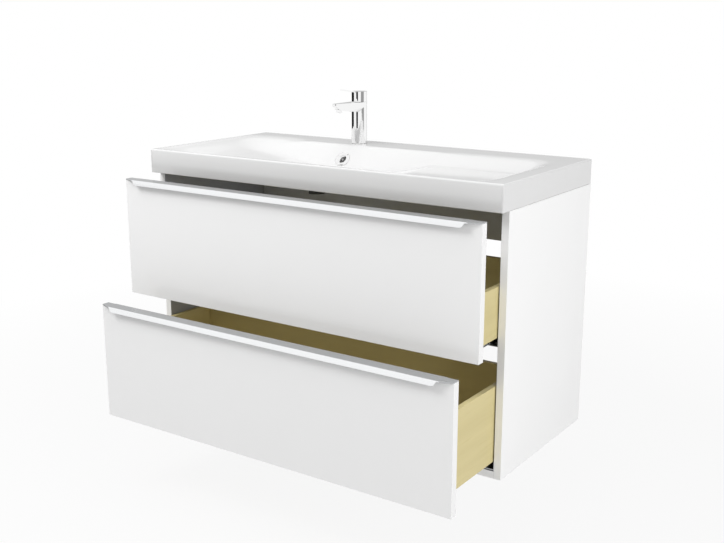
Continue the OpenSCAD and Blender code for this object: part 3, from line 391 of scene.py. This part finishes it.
# %% Dress the solids
def dress(node, material, width):
    """A copy of a CAD node with narrow rounded edges, which stands for the node."""
    bm = merged_copy(node)
    bmesh.ops.dissolve_limit(bm, angle_limit=math.radians(0.5), verts=bm.verts, edges=bm.edges)
    if node.endswith("handle"):
        round_lip(bm)
    if width:
        edges = [e for e in bm.edges if e.is_manifold and e.calc_face_angle(0) > math.radians(28)]
        bmesh.ops.bevel(bm, geom=edges, offset=width, offset_type="OFFSET", segments=2,
                        profile=0.5, affect="EDGES", clamp_overlap=True)
    bmesh.ops.triangulate(bm, faces=[f for f in bm.faces if len(f.verts) > 4])
    made = make_object(node + "_dressed", bm, FINISHES[material])
    made.modifiers.new("even shading", "WEIGHTED_NORMAL").keep_sharp = True
    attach(made, frame["nodes"][node]["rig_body"])
    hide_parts(node)
    return made


DRESSED = [
    ("side_board", 0.6, "side_panel_left side_panel_right"),
    ("bottom_board", 0.6, "bottom_panel"),
    ("grey_board", 0.4, "rear_rail"),
    ("white_gloss", 1.0, "upper_front lower_front"),
    ("upper_handle", 0.45, "upper_handle"),
    ("lower_handle", 0.45, "lower_handle"),
    ("wood_deep", 0.5, "upper_side_left upper_side_right lower_side_left lower_side_right"),
    ("wood_wide", 0.5, "upper_back_left upper_back_right lower_back upper_bottom lower_bottom"),
    ("white_plastic", 0.5, "trap_surround hanger_housings"),
    ("grey_plastic", 0.6, "upper_front_clips lower_front_clips waste_nut"),
    ("runner_steel", 0.25, "upper_cabinet_runners lower_cabinet_runners upper_middle_runners "
                           "lower_middle_runners upper_drawer_runners lower_drawer_runners"),
    ("zinc", 0.2, "cam_bolts cam_housings hanger_hooks wall_plates tap_lever_screw tap_stud "
                  "tap_clamp_plate"),
    ("waste_metal", 0.3, "waste_body"),
    ("chrome", 0.3, "waste_plug tap_body tap_lever tap_aerator overflow_ring"),
    ("chrome", 0.2, "tap_spindle"),
    ("white_plastic", 0.3, "tap_cartridge"),
    ("brass", 0.3, "tap_cartridge_nut tap_stud_nut"),
    ("rubber", 0.2, "waste_seal"),
    ("pale_rubber", 0.2, "tap_gasket"),
]
for name, width, nodes in DRESSED:
    for node in nodes.split():
        piece = dress(node, name, width / 1000)
        print(node, len(piece.data.polygons))

# %% [markdown]
# ## The washbasin
#
# The basin is cast in a mould, so every corner of it is soft: the rim rolls into the bowl, the bowl
# rolls into its floor, and a gentle ramp leads from the floor up to a shelf on the right. Such a
# shape is easiest as a height over a fine grid. Three funnels, each the hull of a few rounded
# outlines, are cut out of a flat top, and blurring the heights rounds every crease at once, as the
# glaze does to the clay. The slopes at both ends are gentler still, so they get a wider blur.

# %% Sizes of the basin, in millimetres
HALF_W, DEPTH, TOP, SKIRT_FOOT = 500, 460, 110, 50
RIM_LEFT, RIM_RIGHT, RIM_FRONT, LEDGE = 25, 62, 20, 110
BOWL_X, DRAIN_Y, TAP_Y = -129, -250, -61
SHELF_Z, TROUGH_Z, BOWL_Z = TOP - 28, TOP - 54, TOP - 68
REAR_RATIO = 0.78
X0, X1, Y0, Y1 = -HALF_W + RIM_LEFT, HALF_W - RIM_RIGHT, -DEPTH + RIM_FRONT, -LEDGE
LEFT_RUN, REAR_RUN, FRONT_RUN = 62, 36, 28
SHELF_X = BOWL_X + 284
TROUGH = (BOWL_X - 86, BOWL_X + 150, Y0 + 54, Y1 - REAR_RATIO * 54, TROUGH_Z, 34)
FUNNELS = [
    [(X0, X0 + 60, Y0, Y1, TOP, 12), (X1 - 120, X1, Y0, Y1, TOP, 50),
     (X0 + LEFT_RUN, X1 - FRONT_RUN, Y0 + FRONT_RUN, Y1 - REAR_RUN, SHELF_Z, 22)],
    [(X0 + 3, SHELF_X + 10, Y1 - 60, Y1, TOP, 10),
     (X0 + LEFT_RUN, X0 + LEFT_RUN + 60, Y0 + FRONT_RUN, Y1 - REAR_RATIO * 28, SHELF_Z, 22),
     (SHELF_X - 60, SHELF_X, Y0 + FRONT_RUN, Y1 - REAR_RUN, SHELF_Z, 22), TROUGH],
    [TROUGH, (BOWL_X - 42, BOWL_X + 42, DRAIN_Y - 42, DRAIN_Y + 42, BOWL_Z, 41.9)],
]


# %% Heights of the three funnels
def hull_planes(outlines, steps=8):
    """Outward planes (a, b, c, d) of the hull over rounded outlines."""
    bm = bmesh.new()
    for x0, x1, y0, y1, z, r in outlines:
        for cx, cy, start in ((x1 - r, y1 - r, 0), (x0 + r, y1 - r, 90), (x0 + r, y0 + r, 180),
                              (x1 - r, y0 + r, 270)):
            for i in range(steps + 1):
                a = math.radians(start + 90 * i / steps)
                bm.verts.new((cx + r * math.cos(a), cy + r * math.sin(a), z))
    bmesh.ops.remove_doubles(bm, verts=bm.verts, dist=1e-3)
    bmesh.ops.convex_hull(bm, input=bm.verts)
    middle = sum((v.co for v in bm.verts), Vector()) / len(bm.verts)
    planes = []
    for face in bm.faces:
        face.normal_update()
        n = face.normal if face.normal.dot(face.verts[0].co - middle) > 0 else -face.normal
        planes.append((*n, n.dot(face.verts[0].co)))
    bm.free()
    return np.array(planes)


def funnel_floor(outlines, x, y):
    """Lowest height of the hull over each point, and the flat top where there is no hull."""
    low, high = np.full(x.shape, -1e6), np.full(x.shape, 1e6)
    inside = np.ones(x.shape, bool)
    for a, b, c, d in hull_planes(outlines):
        if abs(c) < 1e-4:
            inside &= a * x + b * y <= d + 0.3
        elif c < 0:
            low = np.maximum(low, (d - a * x - b * y) / c)
        else:
            high = np.minimum(high, (d - a * x - b * y) / c)
    return np.where(inside & (low <= high + 1e-6), low, TOP)


def blur(field, sigma, step):
    reach = int(3 * sigma / step) + 1
    weights = np.exp(-0.5 * (np.arange(-reach, reach + 1) * step / sigma) ** 2)
    weights /= weights.sum()
    for axis in (0, 1):
        padded = np.pad(field, [(reach, reach) if a == axis else (0, 0) for a in (0, 1)], mode="edge")
        field = sum(w * np.take(padded, range(i, i + field.shape[axis]), axis=axis)
                    for i, w in enumerate(weights))
    return field


STEP = 2.0
grid_x = np.arange(-HALF_W, HALF_W + STEP / 2, STEP)
grid_y = np.arange(-DEPTH, STEP / 2, STEP)
mesh_x, mesh_y = np.meshgrid(grid_x, grid_y, indexing="ij")
sharp_top = np.minimum.reduce([funnel_floor(f, mesh_x, mesh_y) for f in FUNNELS])
edge_near = np.minimum.reduce([mesh_x + HALF_W, HALF_W - mesh_x, mesh_y + DEPTH, -mesh_y])
SOFT = 4.0
ENDS = [(24.0, (-250 - mesh_x) / 120), (15.0, (mesh_x - 120) / 160)]  # softness, share of it
top_heights = blur(sharp_top, SOFT, STEP)
for softness, share in ENDS:
    share = np.clip(share, 0, 1)
    share = share * share * (3 - 2 * share) * np.clip((edge_near - 8) / 12, 0, 1)
    top_heights = (1 - share) * top_heights + share * blur(sharp_top, softness, STEP)
print("basin heights from", round(float(top_heights.min()), 1), "to", round(float(top_heights.max()), 1))

# %% [markdown]
# The underside follows the bowl at the thickness of the ceramic. It is the lowest height within
# reach of each point, moved down. The channel of the overflow is a ridge under the bowl's rear
# wall, and a deep skirt hides it all from the front.

# %% Heights of the underside
WALL, GROW, LEDGE_UNDER = 12, 9, 96
reach = int(GROW / STEP)
eroded = sharp_top.copy()
for dx in range(-reach, reach + 1):
    for dy in range(-reach, reach + 1):
        if dx * dx + dy * dy <= reach * reach + 1:
            eroded = np.minimum(eroded, np.roll(sharp_top, (dx, dy), (0, 1)))
under = np.minimum(LEDGE_UNDER, eroded - WALL)
run = Y1 - mesh_y
channel = TOP - np.interp(run, [-12, 32, 99.5], [42, 96, 96])
in_channel = (abs(mesh_x - BOWL_X) <= 20) & (run >= -12) & (run <= 99.5)
under = np.where(in_channel, np.minimum(under, channel), under)
under_heights = np.minimum(blur(under, 3.0, STEP), LEDGE_UNDER)


def height_at(field, x, y):
    fx = np.clip((x + HALF_W) / STEP, 0, len(grid_x) - 1.001)
    fy = np.clip((y + DEPTH) / STEP, 0, len(grid_y) - 1.001)
    i, j = fx.astype(int), fy.astype(int)
    u, v = fx - i, fy - j
    return ((1 - u) * (1 - v) * field[i, j] + u * (1 - v) * field[i + 1, j]
            + (1 - u) * v * field[i, j + 1] + u * v * field[i + 1, j + 1])


# %% [markdown]
# The two height grids are joined by rings that run round the skirt. A ring is a rectangle with
# rounded corners. Close to the middle its corner radius shrinks to nothing, and the points that
# then coincide are merged.

# %% Build the basin's mesh
CELL, CORNER_R, CORNER_STEPS = 4, 3, 5
INSET_TOP, INSET_UNDER = 6, 14


def build_basin():
    bm = bmesh.new()
    cols = int((2 * HALF_W - 2 * INSET_TOP) / CELL)
    rows = int((DEPTH - 2 * INSET_TOP) / CELL)

    def grid(field, inset):
        x = np.linspace(-HALF_W + inset, HALF_W - inset, cols + 1)
        y = np.linspace(-DEPTH + inset, -inset, rows + 1)
        gx, gy = np.meshgrid(x, y, indexing="ij")
        z = height_at(field, gx, gy)
        return [[bm.verts.new((gx[i, j], gy[i, j], z[i, j])) for j in range(rows + 1)]
                for i in range(cols + 1)]

    top, low = grid(top_heights, INSET_TOP), grid(under_heights, INSET_UNDER)
    for i in range(cols):
        for j in range(rows):
            bm.faces.new((top[i][j], top[i + 1][j], top[i + 1][j + 1], top[i][j + 1]))
            bm.faces.new((low[i][j], low[i][j + 1], low[i + 1][j + 1], low[i + 1][j]))

    def border(points):
        return ([points[i][0] for i in range(cols + 1)], [points[cols][j] for j in range(rows + 1)],
                [points[i][rows] for i in range(cols, -1, -1)],
                [points[0][j] for j in range(rows, -1, -1)])

    def ring(inset, z):
        """Vertices round the skirt: each side, then its corner's arc."""
        c = max(CORNER_R, inset)
        r = max(CORNER_R - inset, 0)
        x, y = HALF_W - c, DEPTH - c
        corners = [(x, -y), (x, -c), (-x, -c), (-x, -y)]
        made = []
        xs, ys = np.linspace(-x, x, cols + 1), np.linspace(-y, -c, rows + 1)
        sides = [[(v, -y - r) for v in xs], [(x + r, v) for v in ys],
                 [(v, -c + r) for v in xs[::-1]], [(-x - r, v) for v in ys[::-1]]]
        for side, (line, (cx, cy)) in enumerate(zip(sides, corners)):
            made += [(px, py) for px, py in line]
            for i in range(1, CORNER_STEPS):
                a = math.radians(-90 + 90 * side + 90 * i / CORNER_STEPS)
                made.append((cx + r * math.cos(a), cy + r * math.sin(a)))
        return [bm.verts.new((px, py, z)) for px, py in made]

    def start_ring(points):
        made = []
        for side in border(points):
            made += side
            made += [side[-1]] * (CORNER_STEPS - 1)
        return made

    profile = [(4.0, TOP)]
    profile += [(4 - 4 * math.sin(a), TOP - 4 + 4 * math.cos(a)) for a in
                (math.radians(d) for d in (22.5, 45, 67.5, 90))]
    profile += [(0, 80), (0, SKIRT_FOOT + 1.5), (0.5, SKIRT_FOOT + 0.4), (1.5, SKIRT_FOOT),
                (8.5, SKIRT_FOOT), (9.6, SKIRT_FOOT + 0.4), (10, SKIRT_FOOT + 1.5), (10, 92),
                (11.2, 94.8), (INSET_UNDER, LEDGE_UNDER)]
    rings = [start_ring(top)] + [ring(*p) for p in profile[:-1]] + [start_ring(low)]
    count = len(rings[0])
    for a, b in zip(rings, rings[1:]):
        for i in range(count):
            k = (i + 1) % count
            corners = []
            for v in (a[i], b[i], b[k], a[k]):
                if v not in corners:
                    corners.append(v)
            if len(corners) > 2 and bm.faces.get(corners) is None:
                bm.faces.new(corners)
    bmesh.ops.remove_doubles(bm, verts=bm.verts, dist=1e-3)
    bmesh.ops.recalc_face_normals(bm, faces=bm.faces)
    bmesh.ops.scale(bm, vec=(0.001, 0.001, 0.001), verts=bm.verts)
    return bm


basin = make_object("washbasin_glazed", build_basin(), FINISHES["ceramic"], sharp=50)
print("basin faces:", len(basin.data.polygons))

# %% [markdown]
# Three holes go through the ceramic: for the tap, the waste and the overflow. A Boolean modifier
# with plain cylinders cuts them, and its result is kept as the mesh.

# %% Cut the holes
def cutter(place, radius, length, tilt=0.0):
    bm = bmesh.new()
    bmesh.ops.create_cone(bm, cap_ends=True, segments=48, radius1=radius, radius2=radius, depth=length)
    made = make_object("cutter", bm, FINISHES["ceramic"])
    made.location, made.rotation_euler = place, (tilt, 0, 0)
    return made


OVERFLOW_DROP = 35
overflow_tilt = math.atan2(1, REAR_RATIO)
overflow_place = Vector((BOWL_X, Y1 - REAR_RATIO * OVERFLOW_DROP, TOP - OVERFLOW_DROP)) / 1000
overflow_way = Vector((0, -math.sin(overflow_tilt), math.cos(overflow_tilt)))
cutters = [
    cutter((BOWL_X / 1000, TAP_Y / 1000, 0.1), 0.0175, 0.06),
    cutter((BOWL_X / 1000, DRAIN_Y / 1000, 0.04), 0.0225, 0.06),
    cutter(overflow_place - overflow_way * 0.008, 0.012, 0.04, overflow_tilt),
]


def keep_modifiers(piece):
    """Makes what the modifiers show the piece's own mesh."""
    graph = bpy.context.evaluated_depsgraph_get()
    mesh = bpy.data.meshes.new_from_object(piece.evaluated_get(graph))
    piece.modifiers.clear()
    piece.data = mesh
    return piece


for hole in cutters:
    cut = basin.modifiers.new("hole", "BOOLEAN")
    cut.object, cut.operation, cut.solver = hole, "DIFFERENCE", "EXACT"
bpy.context.view_layer.update()
keep_modifiers(basin)
for hole in cutters:
    bpy.data.objects.remove(hole)
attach(basin, "cabinet")
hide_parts("washbasin")
print("basin with holes:", len(basin.data.polygons), "faces")

# %% [markdown]
# ## Fasteners with Geometry Nodes
#
# Screws repeat, so one tree makes them all. It builds a single screw from a core, a stack of
# shallow cones for the thread, and a head with a cross recess. It then sets a copy on each point
# and turns it to the direction that the point carries.

# %% A tree that builds screws
def socket_id(group, name):
    return next(s.identifier for s in group.interface.items_tree
                if s.item_type == "SOCKET" and s.in_out == "INPUT" and s.name == name)


def set_on_points(tree, shape, inputs, end):
    """Sets a copy of a shape on each point, turned along the point's `way`."""
    way = add(tree, "GeometryNodeInputNamedAttribute", data_type="FLOAT_VECTOR", inputs={"Name": "way"})
    turned = add(tree, "FunctionNodeAlignRotationToVector", axis="Z", inputs={
        "Vector": way.outputs["Attribute"]})
    copies = add(tree, "GeometryNodeInstanceOnPoints", inputs={
        "Points": inputs["Points"], "Instance": shape, "Rotation": turned.outputs[0]})
    real = add(tree, "GeometryNodeRealizeInstances", inputs={"Geometry": copies.outputs[0]})
    painted = add(tree, "GeometryNodeSetMaterial", inputs={
        "Geometry": real.outputs[0], "Material": inputs["Finish"]})
    tree.links.new(painted.outputs[0], end.inputs[0])


def build_screw_tree():
    tree, start, end = new_group(
        "Screws on points",
        [("Points", "NodeSocketGeometry", None), ("Radius", "NodeSocketFloat", 0.002),
         ("Length", "NodeSocketFloat", 0.014), ("Head radius", "NodeSocketFloat", 0.0035),
         ("Head height", "NodeSocketFloat", 0.0016), ("Pitch", "NodeSocketFloat", 0.0012),
         ("Finish", "NodeSocketMaterial", None)],
        [("Screws", "NodeSocketGeometry")], "GeometryNodeTree")
    inputs = start.outputs

    def calc(operation, a, b):
        return add(tree, "ShaderNodeMath", operation=operation, inputs={0: a, 1: b}).outputs[0]

    def up(height):
        return add(tree, "ShaderNodeCombineXYZ", inputs={"Z": height}).outputs[0]

    def moved(geometry, offset):
        return add(tree, "GeometryNodeTransform", inputs={
            "Geometry": geometry, "Translation": offset}).outputs[0]

    core_r = calc("MULTIPLY", inputs["Radius"], 0.8)
    core = add(tree, "GeometryNodeMeshCylinder", inputs={
        "Vertices": 16, "Radius": core_r, "Depth": inputs["Length"]}).outputs[0]
    core = moved(core, up(calc("MULTIPLY", inputs["Length"], 0.5)))
    turns = calc("DIVIDE", inputs["Length"], inputs["Pitch"])
    tooth = add(tree, "GeometryNodeMeshCone", inputs={
        "Vertices": 16, "Radius Top": core_r, "Radius Bottom": inputs["Radius"],
        "Depth": calc("MULTIPLY", inputs["Pitch"], 0.7)}).outputs[0]
    line = add(tree, "GeometryNodeMeshLine", inputs={
        "Count": calc("FLOOR", turns, 0.0), "Offset": up(inputs["Pitch"])}).outputs[0]
    thread = add(tree, "GeometryNodeInstanceOnPoints", inputs={
        "Points": line, "Instance": moved(tooth, up(calc("MULTIPLY", inputs["Pitch"], 0.1)))}).outputs[0]
    thread = add(tree, "GeometryNodeRealizeInstances", inputs={"Geometry": thread}).outputs[0]
    dome = add(tree, "GeometryNodeMeshCone", inputs={
        "Vertices": 24, "Radius Top": calc("MULTIPLY", inputs["Head radius"], 0.72),
        "Radius Bottom": inputs["Head radius"], "Depth": inputs["Head height"]}).outputs[0]
    long_side = calc("MULTIPLY", inputs["Head radius"], 1.1)
    thin_side = calc("MULTIPLY", inputs["Head radius"], 0.26)
    deep = calc("MULTIPLY", inputs["Head height"], 0.7)
    bars = []
    for x, y in ((long_side, thin_side), (thin_side, long_side)):
        size = add(tree, "ShaderNodeCombineXYZ", inputs={"X": x, "Y": y, "Z": deep}).outputs[0]
        bar = add(tree, "GeometryNodeMeshCube", inputs={"Size": size}).outputs[0]
        bars.append(moved(bar, up(inputs["Head height"])))
    head = add(tree, "GeometryNodeMeshBoolean", operation="DIFFERENCE", inputs={
        "Mesh 1": dome})
    for bar in bars:
        tree.links.new(bar, head.inputs["Mesh 2"])
    head = add(tree, "GeometryNodeTransform", inputs={
        "Geometry": head.outputs[0], "Rotation": (math.pi, 0, 0)}).outputs[0]
    whole = tree.nodes.new("GeometryNodeJoinGeometry")
    for part in (core, thread, head):
        tree.links.new(part, whole.inputs[0])
    set_on_points(tree, whole.outputs[0], inputs, end)
    return tree


screw_tree = build_screw_tree()
print("tree:", screw_tree.name, len(screw_tree.nodes), "nodes")

# %% [markdown]
# The points come from the solids themselves. Each screw's solid is an island of its merged mesh,
# and the island's box says where the head sits and how long the screw is.

# %% Islands of a solid
def islands(node):
    bm = merged_copy(node)
    bm.verts.ensure_lookup_table()
    left, boxes = set(bm.verts), []
    while left:
        seed = left.pop()
        members, stack = [seed], [seed]
        while stack:
            for e in stack.pop().link_edges:
                for v in e.verts:
                    if v in left:
                        left.remove(v)
                        members.append(v)
                        stack.append(v)
        co = np.array([v.co for v in members])
        boxes.append((co.min(0), co.max(0)))
    bm.free()
    return sorted(boxes, key=lambda b: tuple(np.round(b[0], 4)))


def points_with_way(name, rows):
    mesh = bpy.data.meshes.new(name)
    mesh.from_pydata([r[0] for r in rows], [], [])
    way = mesh.attributes.new("way", "FLOAT_VECTOR", "POINT")
    way.data.foreach_set("vector", [c for r in rows for c in r[1]])
    made = bpy.data.objects.new(name, mesh)
    bpy.context.scene.collection.objects.link(made)
    return made


def run_tree(points, tree, values):
    """Runs a Geometry Nodes tree on points and keeps the result as a plain mesh."""
    modifier = points.modifiers.new("tree", "NODES")
    modifier.node_group = tree
    for name, value in values.items():
        modifier[socket_id(tree, name)] = value
    bpy.context.view_layer.update()
    keep_modifiers(points)
    points.data.set_sharp_from_angle(angle=math.radians(32))
    return points


# %% Set the screws
# node, radius of the thread and the head, height of the head, pitch, way from the head to the point
SCREWS = [
    ("runner_screws", 0.0019, 0.0035, 0.0016, 0.0013, (1, 0, 0)),
    ("upper_handle_screws", 0.0016, 0.0032, 0.0015, 0.0011, (0, -1, 0)),
    ("lower_handle_screws", 0.0016, 0.0032, 0.0015, 0.0011, (0, -1, 0)),
    ("hanger_screws", 0.003, 0.005, 0.003, 0.0012, (0, 1, 0)),
]
for node, radius, head_r, head_h, pitch, way in SCREWS:
    axis = int(np.argmax(np.abs(way)))
    lengths = {}
    for low, high in islands(node):
        direction = np.array(way, float)
        if axis == 0:
            direction *= np.sign(low[0])
        seat = (low + high) / 2
        start = low[axis] if direction[axis] > 0 else high[axis]
        seat[axis] = start + direction[axis] * head_h
        length = round(float(high[axis] - low[axis]) - head_h, 5)
        lengths.setdefault(length, []).append((seat, direction))
    parts = [run_tree(points_with_way(node, rows), screw_tree, {
        "Radius": radius, "Length": length, "Head radius": head_r, "Head height": head_h,
        "Pitch": pitch, "Finish": FINISHES["zinc"]}) for length, rows in sorted(lengths.items())]
    for n, piece in enumerate(parts):
        piece.name = f"{node}_threaded_{n}"
        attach(piece, frame["nodes"][node]["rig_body"])
        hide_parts(node)
    print(node, [len(p.data.polygons) for p in parts])

# %% [markdown]
# ## Dowels
#
# Beech dowels have pressed flutes that let the glue spread. A star outline, swept along a short
# line, is a fluted rod, so a second tree makes them.

# %% A tree that builds fluted dowels
def build_dowel_tree():
    tree, start, end = new_group(
        "Fluted dowels on points",
        [("Points", "NodeSocketGeometry", None), ("Radius", "NodeSocketFloat", 0.004),
         ("Length", "NodeSocketFloat", 0.03), ("Flutes", "NodeSocketInt", 18),
         ("Flute depth", "NodeSocketFloat", 0.0003), ("Finish", "NodeSocketMaterial", None)],
        [("Dowels", "NodeSocketGeometry")], "GeometryNodeTree")
    inputs = start.outputs
    valley = add(tree, "ShaderNodeMath", operation="SUBTRACT", inputs={
        0: inputs["Radius"], 1: inputs["Flute depth"]})
    outline = add(tree, "GeometryNodeCurveStar", inputs={
        "Points": inputs["Flutes"], "Inner Radius": valley.outputs[0], "Outer Radius": inputs["Radius"]})
    far = add(tree, "ShaderNodeCombineXYZ", inputs={"Z": inputs["Length"]})
    line = add(tree, "GeometryNodeCurvePrimitiveLine", inputs={"End": far.outputs[0]})
    rod = add(tree, "GeometryNodeCurveToMesh", inputs={
        "Curve": line.outputs[0], "Profile Curve": outline.outputs[0], "Fill Caps": True})
    set_on_points(tree, rod.outputs[0], inputs, end)
    return tree


dowel_boxes = islands("carcass_dowels")
dowel_rows = [((low[0], *((low + high) / 2)[1:]), (1, 0, 0)) for low, high in dowel_boxes]
low, high = dowel_boxes[0]
dowels = run_tree(points_with_way("carcass_dowels_fluted", dowel_rows), build_dowel_tree(), {
    "Radius": float(high[2] - low[2]) / 2, "Length": float(high[0] - low[0]),
    "Finish": FINISHES["beech"]})
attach(dowels, "cabinet")
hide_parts("carcass_dowels")
print("dowels:", len(dowel_rows), "faces:", len(dowels.data.polygons))

# %% [markdown]
# ## Studio: floor and white room
#
# The floor is a plain pale plane below the cabinet, and the world behind it is white. The camera
# and mirror-like rays see the floor mixed with plain white, so it is nearly white with a faint
# shadow, while the light that it throws back on the vanity stays that of a pale floor.

# %% Floor and world
FLOOR_LEVEL = -0.74


def rays(tree):
    """1 for camera, mirror and glass rays, else 0."""
    path = add(tree, "ShaderNodeLightPath")
    first = add(tree, "ShaderNodeMath", operation="MAXIMUM", inputs={
        0: path.outputs["Is Camera Ray"], 1: path.outputs["Is Glossy Ray"]})
    return add(tree, "ShaderNodeMath", operation="MAXIMUM", inputs={
        0: first.outputs[0], 1: path.outputs["Is Transmission Ray"]}).outputs[0]


bm = bmesh.new()
bmesh.ops.create_grid(bm, x_segments=1, y_segments=1, size=30)
floor_finish = finish("pale floor", grey(0.6), 0.8, 0.05, 3.0, drift=0.02, bump=0.0)
floor = make_object("floor", bm, floor_finish)
floor.location = (0, 0, FLOOR_LEVEL)
tree = floor_finish.node_tree
distance = add(tree, "ShaderNodeVectorMath", operation="LENGTH", inputs={
    0: add(tree, "ShaderNodeTexCoord").outputs["Object"]})
whiteness = add(tree, "ShaderNodeMapRange", inputs={
    "Value": distance.outputs["Value"], "From Min": 0.9, "From Max": 2.2, "To Min": 0.9, "To Max": 1.0})
shown = add(tree, "ShaderNodeMath", operation="MULTIPLY", inputs={0: rays(tree), 1: whiteness.outputs[0]})
mix = add(tree, "ShaderNodeMixShader", inputs={
    0: shown.outputs[0], 1: tree.nodes["Principled BSDF"].outputs[0],
    2: add(tree, "ShaderNodeEmission").outputs[0]})
tree.links.new(mix.outputs[0], tree.nodes["Material Output"].inputs["Surface"])

AMBIENT = 0.42
world = bpy.data.worlds.new("white room")
bpy.context.scene.world = world
world.use_nodes = True
tree = world.node_tree
strength = add(tree, "ShaderNodeMix", data_type="FLOAT", inputs={0: rays(tree), 2: AMBIENT, 3: 1.0})
tree.nodes["Background"].inputs["Color"].default_value = (1, 1, 1, 1)
tree.links.new(strength.outputs[0], tree.nodes["Background"].inputs["Strength"])
bpy.context.scene.view_settings.view_transform = "Standard"
print("floor at", FLOOR_LEVEL, "ambient", AMBIENT)

# %% [markdown]
# ## Studio: backdrop
#
# Chrome in a white room looks like paper, because a mirror shows only what stands round it. So a
# backdrop three metres away has black and grey panels, between which the white room shows, and the
# tap mirrors them as dark stripes. Only mirror-like rays see the panels: they give no shade on the
# boards and don't show in the picture.

# %% Panels of the backdrop
BACKDROP_CENTRE, BACKDROP_R = (BOWL_X / 1000, TAP_Y / 1000), 3.0
PANEL_FOOT, PANEL_TOP, PANEL_STEPS = FLOOR_LEVEL + 0.01, 0.1, 8
WALL_LEFT, WALL_RIGHT, WALL_Y = -9, 1.8, 3.05


def backdrop_panel(name, level, points, faces):
    """A panel with an even brightness of its own, which only mirror-like rays see."""
    bm = bmesh.new()
    corners = [bm.verts.new(p) for p in points]
    for face in faces:
        bm.faces.new([corners[i] for i in face])
    paint = bpy.data.materials.new(name)
    paint.use_nodes = True
    tree = paint.node_tree
    tree.nodes.remove(tree.nodes["Principled BSDF"])
    glow = add(tree, "ShaderNodeEmission", inputs={"Color": (1, 1, 1, 1), "Strength": level})
    tree.links.new(glow.outputs[0], tree.nodes["Material Output"].inputs["Surface"])
    made = make_object(name, bm, paint)
    made.visible_camera = made.visible_diffuse = made.visible_shadow = False
    made.visible_transmission = made.visible_volume_scatter = False


def curved_panel(name, level, start, end):
    """A stretch of the round backdrop. Its angles run from the front (0 degrees) to the right."""
    points = []
    for i in range(PANEL_STEPS + 1):
        a = math.radians(start + (end - start) * i / PANEL_STEPS)
        x = BACKDROP_CENTRE[0] + BACKDROP_R * math.sin(a)
        y = BACKDROP_CENTRE[1] - BACKDROP_R * math.cos(a)
        points += [(x, y, PANEL_FOOT), (x, y, PANEL_TOP)]
    faces = [(2 * i, 2 * i + 2, 2 * i + 3, 2 * i + 1) for i in range(PANEL_STEPS)]
    backdrop_panel(name, level, points, faces)


def wall_panel(name, level, low, high):
    """A level band of the wall behind the vanity."""
    points = [(x, WALL_Y, z) for x, z in ((WALL_LEFT, low), (WALL_RIGHT, low), (WALL_RIGHT, high),
                                          (WALL_LEFT, high))]
    backdrop_panel(name, level, points, [(0, 1, 2, 3)])


curved_panel("backdrop_left", 0.0, -104, -46)
curved_panel("backdrop_front", 0.0, -9, 17)
curved_panel("backdrop_right", 0.35, 58, 104)
curved_panel("backdrop_rear", 0.1, 168, 173)
wall_panel("backdrop_wall_low", 0.58, 0.2, 0.775)
wall_panel("backdrop_wall_high", 0.74, 0.775, 2.4)

# %% [markdown]
# ## Studio: lamps
#
# Three large soft lamps give the faces their small differences: the side is the brightest, the
# fronts come next, and the top gets its light from above. Mirror-like rays don't see the lamps.

# %% Lamps
def lamp(name, place, target, size, power):
    data = bpy.data.lights.new(name, "AREA")
    data.shape, data.size, data.energy = "SQUARE", size, power
    made = bpy.data.objects.new(name, data)
    made.location = place
    made.rotation_mode = "QUATERNION"
    made.rotation_quaternion = (Vector(target) - Vector(place)).to_track_quat("-Z", "Y")
    made.visible_glossy = False
    bpy.context.scene.collection.objects.link(made)
    return made


MIDDLE = (0, -0.3, -0.2)
lamp("side lamp", (3.1, -1.4, 0.7), MIDDLE, 2.0, 55)
lamp("front lamp", (-1.2, -1.9, 1.8), MIDDLE, 1.0, 41)
lamp("top lamp", (-0.2, -0.8, 2.8), MIDDLE, 2.0, 30)
